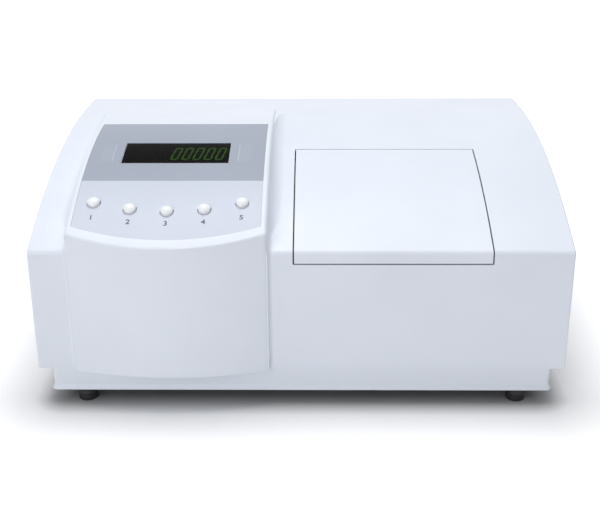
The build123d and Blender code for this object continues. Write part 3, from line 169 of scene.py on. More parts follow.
# %% One finish
class Finish:
    """A material with its Principled shader and one method for any other node."""

    def __init__(self, name, colour, roughness, metallic=0.0, **fixed):
        self.material = bpy.data.materials.new(name)
        self.material.use_nodes = True
        self.tree = self.material.node_tree
        self.shader = self.tree.nodes["Principled BSDF"]
        self.shader.inputs["Base Color"].default_value = (*colour, 1.0)
        self.shader.inputs["Roughness"].default_value = roughness
        self.shader.inputs["Metallic"].default_value = metallic
        for socket, value in fixed.items():
            self.shader.inputs[socket.replace("_", " ")].default_value = value

    def node(self, kind, settings=None, out=0, **sockets):
        """Any node: its settings first, then its sockets' values or links, and its chosen output.

        A socket goes by its name, with _ for a space, or by its number, such as s6.
        """
        node = self.tree.nodes.new("ShaderNode" + kind)
        for key, value in (settings or {}).items():
            setattr(node, key, value)
        result = Value(self.tree, node.outputs[out])
        for key, value in sockets.items():
            numbered = key[1:].isdigit()
            result.feed(node.inputs[int(key[1:]) if numbered else key.replace("_", " ")], value)
        return result

    def place(self):
        """Object coordinates, whole and split into X, Y and Z, in metres."""
        where = self.node("TexCoord", out="Object")
        split = self.node("SeparateXYZ", Vector=where)
        return where, [Value(self.tree, split.socket.node.outputs[i]) for i in range(3)]

    def mix(self, mask, first, second):
        """A colour between two colours, by a mask. They go into the Mix node's sockets 6 and 7."""
        ends = {"s6": as_colour(first), "s7": as_colour(second)}
        return self.node("Mix", {"data_type": "RGBA"}, out=2, Factor=mask, **ends)

    def connect(self, **sockets):
        """Feeds sockets of the shader that vary over the surface."""
        for name, value in sockets.items():
            self.tree.links.new(value.socket, self.shader.inputs[name.replace("_", " ")])
        return self

    def bump(self, height, strength, distance):
        """Normals from a height map; the distance is in metres."""
        normal = self.node("Bump", Strength=strength, Distance=distance, Height=height)
        return self.connect(Normal=normal)

    def noise(self, where, scale, detail=3.0, roughness=0.5):
        """A noise pattern at a scale given in features per metre."""
        return self.node("TexNoise", Vector=where, Scale=scale, Detail=detail, Roughness=roughness)


def as_colour(colour):
    """Four numbers from three, or a link as it is."""
    return colour if isinstance(colour, Value) else (*colour[:3], 1.0)


def shade(colour, factor):
    """A colour made lighter or darker: each of its numbers times the factor, up to 1."""
    return tuple(min(1.0, part * factor) for part in colour[:3])


print("shader helpers ready")

# %% [markdown]
# Moulded housings are sprayed or grained, never optically flat. Three layers give that: a fine
# grain in the normals, a slow drift of a percent or two in the colour, and a roughness that varies
# where hands polish the surface. A photograph of the grain could do it too, but a procedural one
# stays sharp at any distance. Powder coat and rubber are built the same way, each with its own
# grain.


# %% Plastic, powder coat and rubber
def moulded(name, colour, roughness, grain=2600.0, depth=0.00002, drift=0.02, **fixed):
    """Moulded or sprayed plastic: fine grain, slow drift of tone, uneven polish."""
    f = Finish(name, colour, roughness, **fixed)
    where, _ = f.place()
    tone = f.noise(where, 9.0, detail=2.0).ramp(0.3, 0.7)
    f.connect(Base_Color=f.mix(tone, shade(colour, 1 - drift), shade(colour, 1 + drift)))
    f.connect(Roughness=f.noise(where, 30.0, detail=4.0) * 0.14 + (roughness - 0.07))
    return f.bump(f.noise(where, grain, detail=2.0, roughness=0.55), 0.25, depth).material


def coated(name, colour, roughness=0.5):
    """Powder coat on sheet metal: a soft orange peel under a satin colour."""
    f = Finish(name, colour, roughness)
    where, _ = f.place()
    peel = f.noise(where, 700.0, detail=2.0, roughness=0.4)
    speck = f.noise(where, 5200.0, detail=1.0).ramp(0.35, 0.75)
    f.connect(Base_Color=f.mix(speck, shade(colour, 0.985), shade(colour, 1.01)))
    f.connect(Roughness=peel * 0.12 + (roughness - 0.06))
    return f.bump(peel, 0.3, 0.00006).material


def rubbery(name, colour):
    """Dull rubber: a coarse soft grain and a dusty bloom."""
    f = Finish(name, colour, 0.7)
    where, _ = f.place()
    bloom = f.noise(where, 160.0, detail=4.0, roughness=0.6)
    f.connect(Base_Color=f.mix(bloom.ramp(0.35, 0.75), colour, shade(colour, 1.9)))
    f.connect(Roughness=bloom * 0.25 + 0.45)
    return f.bump(f.noise(where, 1800.0), 0.35, 0.00008).material


print("plastic, powder coat and rubber ready")

# %% [markdown]
# Metal shows how it was made. A lathe or a drawing die leaves fine marks along one direction, which
# are noise stretched by a Mapping node, and a sand mould leaves a coarse skin with pits. Glass is
# mostly see-through: its Alpha is low, and a faint dust varies it.

# %% Metal and glass
GLASS_ROUGHNESS = 0.03


def machined(name, colour, roughness, along=(1.0, 14.0, 14.0)):
    """Turned or drawn metal: fine marks stretched along one direction."""
    f = Finish(name, colour, roughness, metallic=1.0)
    where, _ = f.place()
    stretched = f.node("Mapping", Vector=where, Scale=Vector(along))
    marks = f.noise(stretched, 320.0, roughness=0.6)
    f.connect(Base_Color=f.mix(marks.ramp(0.3, 0.7), shade(colour, 0.9), shade(colour, 1.05)))
    f.connect(Roughness=marks * 0.18 + (roughness - 0.09))
    return f.bump(marks, 0.15, 0.00003).material


def cast(name, colour):
    """Cast aluminium: sandy skin with pits."""
    f = Finish(name, colour, 0.55, metallic=1.0)
    where, _ = f.place()
    sand = f.noise(where, 900.0, detail=5.0, roughness=0.65)
    pits = f.node("TexVoronoi", out="Distance", Vector=where, Scale=260.0)
    f.connect(Base_Color=f.mix(sand.ramp(0.3, 0.75), shade(colour, 0.78), shade(colour, 1.05)))
    f.connect(Roughness=sand * 0.25 + 0.42)
    return f.bump(sand * 0.7 + pits * 0.3, 0.4, 0.00015).material


def glassy(name, colour, alpha):
    """Clear or tinted sheet: mostly see-through, with its own gloss and faint dust."""
    f = Finish(name, colour, GLASS_ROUGHNESS, IOR=1.5)
    where, _ = f.place()
    dust = f.noise(where, 700.0, detail=4.0, roughness=0.7)
    f.connect(Roughness=dust.ramp(0.55, 0.8) * 0.12 + GLASS_ROUGHNESS)
    return f.connect(Alpha=dust.ramp(0.6, 0.9) * 0.06 + alpha).material


print("metal and glass ready")

# %% [markdown]
# Colours are written as the real paints: a cool white for the moulded cover, a slightly greyer
# label, near-black for everything that must not reflect stray light. They are linear values, and
# the lights are set so that a surface renders about as its colour is written.

# %% The instrument's finishes
COVER_WHITE = (0.80, 0.84, 0.92)
PAN_WHITE = (0.80, 0.84, 0.91)
REAR_GREY = (0.60, 0.62, 0.66)
LABEL_GREY = (0.34, 0.375, 0.455)
LABEL_LIGHT = (0.60, 0.64, 0.735)
BLACK = (0.012, 0.012, 0.014)
DULL = 0.08  # the specular level of a face that must stay dark under a white room

finishes = {
    "cover": moulded("cover_white", COVER_WHITE, 0.40),
    "pan": coated("pan_white", PAN_WHITE),
    "rear": coated("rear_grey", REAR_GREY),
    "rubber": rubbery("foot_rubber", (0.010, 0.010, 0.011)),
    "foam": rubbery("seal_foam", (0.02, 0.02, 0.021)),
    "black": moulded("black_plastic", BLACK, 0.45, grain=3000.0),
    "module": moulded("display_module", (0.008, 0.008, 0.009), 0.55, Specular_IOR_Level=DULL),
    "tin": machined("port_tin", (0.27, 0.275, 0.285), 0.42),
    "anodised": coated("matt_black", (0.016, 0.016, 0.018), 0.7),
    "steel": machined("zinc_steel", (0.60, 0.61, 0.63), 0.32),
    "ground": machined("ground_steel", (0.64, 0.64, 0.66), 0.22, along=(14.0, 1.0, 14.0)),
    "brass": machined("gear_brass", (0.72, 0.53, 0.22), 0.28, along=(1.0, 8.0, 8.0)),
    "bronze": machined("bush_bronze", (0.60, 0.38, 0.17), 0.42),
    "copper": machined("wound_copper", (0.66, 0.27, 0.12), 0.35, along=(60.0, 1.0, 1.0)),
    "cast": cast("cast_aluminium", (0.56, 0.57, 0.60)),
    "glass": glassy("clear_glass", (0.86, 0.93, 0.95), 0.30),
    "amber": glassy("amber_glass", (0.55, 0.42, 0.18), 0.55),
    "ceramic": moulded("ceramic_white", (0.76, 0.73, 0.66), 0.6, depth=0.00005),
    "varnish": coated("varnished_core", (0.09, 0.075, 0.06), 0.45),
    "board": moulded("circuit_green", (0.02, 0.12, 0.05), 0.35, grain=1500.0, drift=0.15),
}
print("finishes:", len(finishes))

# %% [markdown]
# The engineering model arrives as loose triangles. Shown like that, an arched roof would look
# faceted. Each visible node is therefore copied, its doubled corners are merged, edges sharper
# than a set angle are marked, and normals are weighted by face area, so broad faces stay flat and
# roundings flow. Remodelling everything by hand would also work, but the copy can't drift from the
# real sizes.

# %% Dressing a node
MERGE_DISTANCE = 0.000005
SHARP_ANGLE = math.radians(28.0)
BROAD_FACE_WEIGHT = 90


def merged_copy(node):
    """A mesh copy of one engineering node with its doubled corners merged."""
    mesh = nodes[node].data.copy()
    build = bmesh.new()
    build.from_mesh(mesh)
    bmesh.ops.remove_doubles(build, verts=build.verts, dist=MERGE_DISTANCE)
    build.to_mesh(mesh)
    build.free()
    return mesh


def show(name, mesh, finish, body):
    """Puts a mesh in the scene as a piece in a finish, riding on a body."""
    mesh.materials.clear()
    mesh.materials.append(finish)
    piece = bpy.data.objects.new(name, mesh)
    bpy.context.scene.collection.objects.link(piece)
    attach(piece, body)
    return piece


def smooth(mesh, sharp=SHARP_ANGLE):
    """Shades every face smooth and marks the edges that fold by more than an angle."""
    build = bmesh.new()
    build.from_mesh(mesh)
    for face in build.faces:
        face.smooth = True
    for edge in build.edges:
        edge.smooth = edge.calc_face_angle(0.0) < sharp
    build.to_mesh(mesh)
    build.free()


def dress(node, finish):
    """Shows a node as a smooth-shaded copy in a finish, with its hard edges kept."""
    mesh = merged_copy(node)
    smooth(mesh)
    piece = show(node + "_finish", mesh, finish, nodes[node]["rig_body"])
    weighted = piece.modifiers.new("flat_faces", "WEIGHTED_NORMAL")
    weighted.keep_sharp = True
    weighted.weight = BROAD_FACE_WEIGHT
    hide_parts(node)


def recolour(node, finish):
    """Gives a node that is good as it is a better finish."""
    nodes[node].data.materials.clear()
    nodes[node].data.materials.append(finish)


print("cover triangles:", len(nodes["upper_cover"].data.polygons))

# %% [markdown]
# The housing is what everybody sees, so each of its nodes is dressed: the moulded cover and lid in
# one cool white, the sheet pan in powder coat, the inlet and switches in black, the port in tin,
# screws and hinges in zinc.

# %% Dress the housing
dressed = {
    "upper_cover": "cover",
    "chamber_lid": "cover",
    "base_pan": "pan",
    "rear_panel": "rear",
    "mains_inlet": "black",
    "fuse_holder": "black",
    "serial_port": "tin",
    "switch_bodies": "black",
    "power_rocker": "black",
    "lamp_rocker": "black",
    "chamber_tray": "anodised",
    "tube_trough": "anodised",
    "lid_hinge_arms": "steel",
    "hinge_brackets": "steel",
    "hinge_pins": "steel",
    "lid_seal": "foam",
    "housing_screws": "steel",
    "chamber_windows": "glass",
}
for node, finish in dressed.items():
    dress(node, finishes[finish])
print("dressed:", len(dressed))

# %% [markdown]
# The inner train is seen only when the lid or the cover is off, so its nodes keep their own meshes
# and take a finish each: cast metal, brass, bronze, copper, glass.

# %% Finish the inner pieces
inner = {
    "cast": ["optical_bench", "analyzer_bearings", "worm_bracket"],
    "ground": ["analyzer_drum", "worm_shaft", "servo_motor", "detector_tube"],
    "anodised": ["condenser_mount", "filter_mount", "detector_housing", "lamp_housing"],
    "glass": ["modulator_core", "condenser_lens", "objective_lens", "sodium_lamp"],
    "amber": ["polarizer", "analyzer_disc", "colour_filter"],
    "black": ["modulator_bobbin", "key_switches"],
    "copper": ["modulator_coil"],
    "ceramic": ["lamp_socket"],
    "bronze": ["bearing_bushes"],
    "brass": ["worm_wheel"],
    "varnish": ["power_transformer", "lamp_ballast"],
    "board": ["main_board", "keypad_board"],
    "module": ["display_board"],
    "steel": ["panel_studs", "board_spacers", "rocker_pins"],
}
for finish, members in inner.items():
    for node in members:
        recolour(node, finishes[finish])
print("inner pieces:", sum(len(members) for members in inner.values()))

# %% [markdown]
# Some pieces have to be read from the frame first: where a key stands, which bar of the display is
# which. A mesh's corners as one array answer that quickly, and so does a number for each loose
# piece of a mesh, found by passing numbers along its edges.


# %% Reading meshes as arrays
def points_of(mesh):
    """A mesh's corners as an array of rows."""
    points = np.empty(len(mesh.vertices) * 3)
    mesh.vertices.foreach_get("co", points)
    return points.reshape(-1, 3)


def normals_of(mesh):
    """The normal at each corner of a mesh, as an array of rows."""
    normals = np.empty(len(mesh.vertices) * 3)
    mesh.vertices.foreach_get("normal", normals)
    return normals.reshape(-1, 3)


def loose_pieces(mesh):
    """For each corner, the number of the loose piece that it belongs to.

    Every corner starts with its own number, and each edge hands the lower number on until none changes.
    """
    ends = np.empty(len(mesh.edges) * 2, np.int64)
    mesh.edges.foreach_get("vertices", ends)
    ends = ends.reshape(-1, 2)
    label = np.arange(len(mesh.vertices))
    while True:
        lower = label[ends].min(axis=1)
        fresh = label.copy()
        np.minimum.at(fresh, ends[:, 0], lower)
        np.minimum.at(fresh, ends[:, 1], lower)
        if (fresh == label).all():
            return np.unique(label, return_inverse=True)[1]
        label = fresh


def share_of(mesh, keep, name):
    """A new mesh from the corners of a triangle mesh that are kept."""
    corners = np.empty(len(mesh.polygons) * 3, np.int64)
    mesh.polygons.foreach_get("vertices", corners)
    triangles = corners.reshape(-1, 3)
    triangles = triangles[keep[triangles[:, 0]]]
    number = np.cumsum(keep) - 1
    share = bpy.data.meshes.new(name)
    share.from_pydata(points_of(mesh)[keep].tolist(), [], number[triangles].tolist())
    return share


feet_mesh = merged_copy("rubber_feet")
foot_of_point = loose_pieces(feet_mesh)
print("loose pieces in the feet:", foot_of_point.max() + 1)

# %% [markdown]
# Shapes of revolution, such as key caps and feet, are surfaces of two parameters: the distance
# along a profile and the angle round an axis. A whole grid of points is worked out at once as
# arrays, and the ends of the profile lie on the axis, which closes the surface. A lathe modifier
# could do the same, but the formula also gives the exact size.

# %% Turned surfaces
GRID_SHARP = math.radians(40.0)
SIDE_SHARE = 0.45


def closed_surface(name, points, quads):
    """A closed mesh from a grid's points and quads: doubles merged, faces outwards, smooth-shaded."""
    mesh = bpy.data.meshes.new(name)
    mesh.from_pydata(points.reshape(-1, 3).tolist(), [], quads.reshape(-1, 4).tolist())
    build = bmesh.new()
    build.from_mesh(mesh)
    bmesh.ops.remove_doubles(build, verts=build.verts, dist=MERGE_DISTANCE)
    bmesh.ops.recalc_face_normals(build, faces=build.faces)
    build.to_mesh(mesh)
    build.free()
    smooth(mesh, GRID_SHARP)
    return mesh


def turned(name, profile, origin, axis, steps=64):
    """A mesh from a profile of (radius, height) pairs turned round an axis through origin.

    Each point is origin + axis * height + radius * (cos a * u + sin a * v). Here u and v are
    square to the axis, which is never along X.
    """
    profile = np.asarray(profile)
    axis = np.asarray(axis) / np.linalg.norm(axis)
    u = np.cross((1.0, 0.0, 0.0), axis)
    u = u / np.linalg.norm(u)
    v = np.cross(axis, u)
    angle = np.linspace(0, 2 * np.pi, steps, endpoint=False)
    ring = np.cos(angle)[:, None] * u + np.sin(angle)[:, None] * v
    along = np.asarray(origin) + profile[:, 1, None, None] * axis
    points = along + profile[:, 0, None, None] * ring[None]
    index = np.arange(len(profile) * steps).reshape(len(profile), steps)
    after = np.roll(index, -1, axis=1)
    quads = np.stack([index[:-1], after[:-1], after[1:], index[1:]], axis=-1)
    return closed_surface(name, points, quads)


def rounded(profile, radius, corner_steps=5):
    """A profile with each inner corner replaced by a curve that starts a radius before it.

    The curve is (1 - t)² * start + 2t(1 - t) * corner + t² * end, and the radius takes at most
    SIDE_SHARE of the sides that meet there.
    """
    profile = np.asarray(profile, float)
    points = [profile[0]]
    t = np.linspace(0, 1, corner_steps)[:, None]
    for before, corner, after in zip(profile[:-2], profile[1:-1], profile[2:]):
        back = before - corner
        on = after - corner
        r = min(radius, SIDE_SHARE * np.linalg.norm(back), SIDE_SHARE * np.linalg.norm(on))
        start = corner + back / np.linalg.norm(back) * r
        end = corner + on / np.linalg.norm(on) * r
        points.extend((1 - t) ** 2 * start + 2 * t * (1 - t) * corner + t**2 * end)
    points.append(profile[-1])
    return np.array(points)


print("turned surfaces ready")

# %% [markdown]
# The feet are moulded rubber, screwed on from below. Their profile is a slightly tapered wall with
# a moulding ring at mid height and a rounded rim on the bench, hollow where the screw's head lies.

# %% Rubber feet
FOOT_HOLLOW = 0.0046
FOOT_HOLLOW_TOP = 0.005
FOOT_TAPER = 0.0008
FOOT_ROUNDING = 0.0012
FOOT_STEPS = 56
RING_PROUD = 0.0007
RING_LEVEL = 0.52
RING_FLAT = 0.0006
RING_SPREAD = 0.0012


def foot_profile(radius, tall):
    """(radius, height) pairs from the hollow's middle, round the rim and the ring, to the top's middle."""
    wall = radius - RING_PROUD
    ring = tall * RING_LEVEL
    outline = [
        (0.0, FOOT_HOLLOW_TOP), (FOOT_HOLLOW, FOOT_HOLLOW_TOP), (FOOT_HOLLOW, 0.0), (wall, 0.0),
        (wall, ring - RING_SPREAD), (radius, ring - RING_FLAT), (radius, ring + RING_FLAT),
        (wall, ring + RING_SPREAD), (radius - FOOT_TAPER, tall), (0.0, tall),
    ]
    return rounded(outline, FOOT_ROUNDING, 4)


feet_points = points_of(feet_mesh)
together = bmesh.new()
for foot in range(foot_of_point.max() + 1):
    low = feet_points[foot_of_point == foot].min(axis=0)
    high = feet_points[foot_of_point == foot].max(axis=0)
    radius, tall = (high[0] - low[0]) / 2, high[2] - low[2]
    centre = ((low[0] + high[0]) / 2, (low[1] + high[1]) / 2, low[2])
    together.from_mesh(turned("foot", foot_profile(radius, tall), centre, (0.0, 0.0, 1.0), FOOT_STEPS))
all_feet = bpy.data.meshes.new("turned_feet")
together.to_mesh(all_feet)
together.free()
feet_body, feet_slot = nodes["rubber_feet"]["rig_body"], slots["rubber_feet"]
feet_shown = show("turned_feet", all_feet, finishes["rubber"], feet_body)
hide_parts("rubber_feet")
print("foot radius", round(radius * 1000, 1), "mm")

# %% [markdown]
# The pan's lower edge is hemmed: the sheet is folded outwards and back, which stiffens it and hides
# the cut edge. The hem leans out a little, so it catches the light from above as a lighter line
# under the instrument. Its section is carried round the pan's outline, a rectangle whose corners
# are quarter circles. A bevel on the pan would be less work, but it couldn't stand proud.

# %% Hem of the pan
PAN_CORNER = 0.004
PAN_FOOT_SLICE = 0.0005
HEM_PROUD = 0.0026
HEM_HEIGHT = 0.0066
HEM_SUNK = 0.0008
HEM_EDGE = 0.0014
HEM_TOP_PROUD = 0.0004
HEM_TOP_FALL = 0.0008
HEM_ROUNDING = 0.0007

pan_points = points_of(nodes["base_pan"].data)
pan_foot = pan_points[pan_points[:, 2] < pan_points[:, 2].min() + PAN_FOOT_SLICE]
pan_low, pan_high = pan_foot.min(axis=0), pan_foot.max(axis=0)


def round_rectangle(low, high, corner, steps=8):
    """Points and outward directions along a rectangle with round corners.

    Each point is a corner's centre + corner * (cos a, sin a), a running on from corner to corner.
    """
    quarter = np.linspace(0, np.pi / 2, steps)
    angle = np.concatenate([quarter + side * np.pi / 2 for side in range(4)])
    signs = np.repeat([(1, 1), (-1, 1), (-1, -1), (1, -1)], steps, axis=0)
    middle, half = (low[:2] + high[:2]) / 2, (high[:2] - low[:2]) / 2 - corner
    outward = np.stack([np.cos(angle), np.sin(angle)], axis=1)
    return middle + signs * half + corner * outward, outward


def carried(name, section, low, high, corner):
    """A closed mesh: a closed section of (outward, height) pairs carried round a round rectangle.

    Each point is outline + outward * direction, at the foot's height + height.
    """
    outline, outward = round_rectangle(low, high, corner)
    section = np.asarray(section)
    flat = outline[None] + section[:, 0, None, None] * outward[None]
    height = np.broadcast_to(low[2] + section[:, 1, None, None], (*flat.shape[:2], 1))
    points = np.concatenate([flat, height], axis=2)
    index = np.arange(points.shape[0] * points.shape[1]).reshape(points.shape[:2])
    down, on = np.roll(index, -1, axis=0), np.roll(index, -1, axis=1)
    quads = np.stack([index, on, np.roll(down, -1, axis=1), down], axis=-1)
    return closed_surface(name, points, quads)


hem = [
    (-HEM_SUNK, 0.0), (HEM_PROUD, 0.0), (HEM_PROUD, HEM_EDGE), (HEM_TOP_PROUD, HEM_HEIGHT - HEM_TOP_FALL),
    (-HEM_SUNK, HEM_HEIGHT),
]
hem_mesh = carried("pan_hem", rounded(hem, HEM_ROUNDING, 4), pan_low, pan_high, PAN_CORNER)
show("pan_hem", hem_mesh, finishes["pan"], "housing")
print("hem round", np.round((pan_high - pan_low)[:2] * 1000), "mm")

# %% [markdown]
# Key caps are polished white buttons, five of one mould. The cap is a turned profile: a stem and a
# retaining flange that stay out of sight under the cover, a straight side and a shallow dome. The
# dome is a circle's arc through the rim and the crown, so its highlight is a round spot.

# %% Key cap profile
KEY_RADIUS = 0.0070
KEY_CROWN = 0.0060
KEY_DOME = 0.0032
KEY_STEM = 0.0032
KEY_STEM_END = -0.0090
FLANGE_RADIUS = 0.0094
FLANGE_TOP = -0.00375
FLANGE_LOW = -0.00495
SIDE_START = 0.001
RIM_ROUNDING = 0.0006
DOME_STEPS = 16

# The arc through the rim and the crown has the radius (rim² + rise²) / (2 * rise).
dome_radius = (KEY_RADIUS**2 + KEY_DOME**2) / (2 * KEY_DOME)
lean = np.linspace(math.asin(KEY_RADIUS / dome_radius), 0.0, DOME_STEPS)
dome = np.stack([dome_radius * np.sin(lean), KEY_CROWN - dome_radius * (1 - np.cos(lean))], axis=1)
below = [
    (0.0, KEY_STEM_END), (KEY_STEM, KEY_STEM_END), (KEY_STEM, FLANGE_LOW), (FLANGE_RADIUS, FLANGE_LOW),
    (FLANGE_RADIUS, FLANGE_TOP), (KEY_RADIUS, FLANGE_TOP),
]
rim = rounded([(KEY_RADIUS, FLANGE_TOP + SIDE_START), dome[0], dome[2]], RIM_ROUNDING)
cap_profile = np.vstack([below, rim, dome[3:]])
print("dome radius", round(dome_radius * 1000, 1), "mm")

# %% [markdown]
# Each cap's place is read from its node: the crown is the node's furthest point along the stroke,
# and the middle of the node across the stroke is the cap's axis. Typed numbers would do, but these
# stay right if the engineering model moves its keys.

# %% Key caps
cap_finish = Finish("key_white", (0.93, 0.95, 0.96), 0.22, Coat_Weight=0.2, Coat_Roughness=0.08)
cap_where, _ = cap_finish.place()
cap_finish.connect(Roughness=cap_finish.noise(cap_where, 240.0) * 0.10 + 0.20)
cap_finish.bump(cap_finish.noise(cap_where, 3200.0, detail=2.0), 0.12, 0.00001)

keys = sorted(name for name in nodes if name.startswith("key_") and name[-1].isdigit())
press = next(np.array(joint["axis"], float) for joint in frame["joints"] if joint["child"] == keys[0])
key_normal = -press / np.linalg.norm(press)
key_across = np.cross(key_normal, (1.0, 0.0, 0.0))


def key_origin(node):
    """Where a key's axis meets the plane from which its crown is measured."""
    points = points_of(nodes[node].data)
    crown = (points @ key_normal).max()
    middle_x = (points[:, 0].min() + points[:, 0].max()) / 2
    across = points @ key_across
    middle = (across.min() + across.max()) / 2
    return np.array((middle_x, 0.0, 0.0)) + key_across * middle + key_normal * (crown - KEY_CROWN)


key_places = {node: key_origin(node) for node in keys}
for node, origin in key_places.items():
    name = node + "_cap"
    cap = show(name, turned(name, cap_profile, origin, key_normal), cap_finish.material, node)
    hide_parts(node)
print("caps:", len(keys))

# %% [markdown]
# A light label and a grey one cover the console. Both are printed film: a flat colour with a faint
# sheen. The grey one also carries thin pale lines on each side of the display, one bold and a few
# faint. They are a pattern of x and y on the film, not geometry, because ink has no height.

# %% Label films
FIRST_LINE = 0.0115
LINE_PITCH = 0.0027
LINE_COUNT = 6
LINE_HALF = 0.0005
LINE_SOFT = 0.4
LINE_END = 0.003
LINE_END_FADE = 0.002
BOLD = 0.42
FAINT = 0.13
PALE_LINE = (0.72, 0.76, 0.80)
FILM_GRAIN = 5200.0
FILM_DEPTH = 0.000008

window_low, window_high = (np.array(corner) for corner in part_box("display_window"))


def pale_lines(x, y):
    """How strongly a line shows at (x, y): 1 - ramp of the distance to its middle, for each line.

    The lines end a little inside the window's front and back edges.
    """
    start, stop = window_low[1] + LINE_END, window_high[1] - LINE_END
    beside = y.ramp(start, start + LINE_END_FADE) * (1 - y.ramp(stop - LINE_END_FADE, stop))
    lines = 0.0
    for edge, way in ((window_low[0], -1), (window_high[0], 1)):
        for i in range(LINE_COUNT):
            centre = float(edge + way * (FIRST_LINE + i * LINE_PITCH))
            off = (x - centre).math("ABSOLUTE")
            line = 1 - off.ramp(LINE_HALF * (1 - LINE_SOFT), LINE_HALF * (1 + LINE_SOFT))
            lines = line * (BOLD if i == 0 else FAINT) + lines
    return lines * beside


def printed_grey():
    """The grey film with its pale lines on each side of the display."""
    f = Finish("label_grey", LABEL_GREY, 0.38)
    where, (x, y, _) = f.place()
    tone = f.noise(where, 7.0, detail=2.0).ramp(0.3, 0.7)
    base = f.mix(tone, shade(LABEL_GREY, 0.97), shade(LABEL_GREY, 1.03))
    f.connect(Base_Color=f.mix(pale_lines(x, y), base, PALE_LINE))
    f.connect(Roughness=f.noise(where, 60.0) * 0.1 + 0.33)
    return f.bump(f.noise(where, FILM_GRAIN, detail=2.0), 0.1, FILM_DEPTH).material


dress("keypad_overlay",
      moulded("label_light", LABEL_LIGHT, 0.36, grain=FILM_GRAIN, depth=FILM_DEPTH, drift=0.01))
dress("display_overlay", printed_grey())
print("lines beside the display:", 2 * LINE_COUNT)

# %% [markdown]
# A plain number is printed under each key, on a label that is curved. Flat numbers are therefore
# wrapped on the label's own arch, a circle that is found by least squares through the label's upper
# face. The circle's size could be typed in, but a fitted one follows any change of the label.

# %% Arch of the label
FACING_UP = 0.3


def fitted_arch(points):
    """Centre (y, z) and radius of the circle nearest to points, by linear least squares.

    A circle is y² + z² = a * y + b * z + c, with its centre at (a, b) / 2.
    """
    y, z = points[:, 1], points[:, 2]
    system = np.stack([y, z, np.ones_like(y)], axis=1)
    a, b, c = np.linalg.lstsq(system, y**2 + z**2, rcond=None)[0]
    return a / 2, b / 2, math.sqrt(c + (a / 2) ** 2 + (b / 2) ** 2)


def wrapped(points, x, y):
    """Flat points laid on the arch: X runs along the row, Y up the slope, Z outwards.

    The angle is the start's angle - Y / radius, and each point is the arch's centre + (radius + Z)
    in that direction.
    """
    start = math.asin((arch_y - y) / arch_radius)
    angle = start - points[:, 1] / arch_radius
    reach = arch_radius + points[:, 2]
    back, rise = arch_y - reach * np.sin(angle), arch_z + reach * np.cos(angle)
    return np.stack([x + points[:, 0], back, rise], axis=1)


keypad = merged_copy("keypad_overlay")
upper_face = points_of(keypad)[normals_of(keypad)[:, 2] > FACING_UP]
arch_y, arch_z, arch_radius = fitted_arch(upper_face)
bpy.data.meshes.remove(keypad)
print("arch radius", round(arch_radius * 1000, 1), "mm")

# %% [markdown]
# Ink is a film a few hundredths of a millimetre thick. Each number is text turned into a thin mesh,
# whose corners are laid on the arch just over the label. A pattern in the label's colour could
# print it too, but a mesh keeps its edges crisp close up.

# %% Key numbers
NUMBER_HEIGHT = 0.0068
NUMBER_DEPTH = 0.0323
NUMBER_SAG = 0.0080
HEIGHT_SHARE = 0.7
INK_THICK = 0.00003
INK_LIFT = 0.00006
INK_SPREAD = 0.00022
CURVE_STEPS = 6

ink = Finish("printed_ink", (0.10, 0.11, 0.14), 0.5)
ink_where, _ = ink.place()
ink.connect(Roughness=ink.noise(ink_where, 900.0) * 0.3 + 0.35)
ink_tone = ink.noise(ink_where, 2400.0, detail=2.0).ramp(0.3, 0.7)
ink.connect(Base_Color=ink.mix(ink_tone, (0.09, 0.10, 0.13), (0.13, 0.14, 0.17)))


def number_mesh(number):
    """A number as a flat mesh in X and Y, centred on X = 0 and standing on Y = 0.

    A digit is HEIGHT_SHARE of its text size tall.
    """
    text = bpy.data.curves.new("number", "FONT")
    text.body = str(number)
    text.size = NUMBER_HEIGHT / HEIGHT_SHARE
    text.align_x = "CENTER"
    text.extrude = INK_THICK
    text.offset = INK_SPREAD
    text.resolution_u = CURVE_STEPS
    flat = bpy.data.objects.new("number", text)
    bpy.context.scene.collection.objects.link(flat)
    bpy.context.view_layer.update()
    mesh = bpy.data.meshes.new_from_object(flat)
    bpy.data.objects.remove(flat)
    return mesh


row = np.array([key_places[node][0] for node in keys])
row_middle, row_half = (row[0] + row[-1]) / 2, (row[-1] - row[0]) / 2
console_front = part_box("upper_cover")[0][1]
for number, x in enumerate(row, 1):
    # The row of numbers bows like the keys: its depth grows with the square of the way off the middle.
    y = console_front + NUMBER_DEPTH + NUMBER_SAG * ((x - row_middle) / row_half) ** 2
    mesh = number_mesh(number)
    points = points_of(mesh) + (0.0, -NUMBER_HEIGHT / 2, INK_LIFT)
    mesh.vertices.foreach_set("co", wrapped(points, x, y).ravel())
    show(f"key_number_{number}", mesh, ink.material, "housing")
print("numbers:", len(row))

# %% [markdown]
# The display is a dark filter sheet over seven-bar digits. The filter hides what is behind it
# except for what shines, so it is a near-black sheet that lets part of the light through. The lit
# bars glow green, and the unlit ones are only just visible, as on a real module.

# %% Display sheet and bar finishes
sheet = Finish("filter_sheet", (0.002, 0.0022, 0.0024), 0.20, Specular_IOR_Level=0.03)
sheet_where, _ = sheet.place()
smudge = sheet.noise(sheet_where, 45.0, detail=4.0, roughness=0.6)
sheet.connect(Roughness=smudge * 0.10 + 0.15, Alpha=smudge * 0.04 + 0.70)
dress("display_window", sheet.material)

lit = Finish("lit_bar", (0.03, 0.12, 0.02), 0.5, Emission_Strength=1.0)
lit_where, _ = lit.place()
glow = lit.noise(lit_where, 260.0, detail=2.0).ramp(0.3, 0.7)
lit.connect(Emission_Color=lit.mix(glow, (0.25, 0.80, 0.06), (0.34, 0.98, 0.10)))
unlit = moulded("unlit_bar", (0.022, 0.020, 0.022), 0.5, Specular_IOR_Level=DULL)
print("display sheet ready")

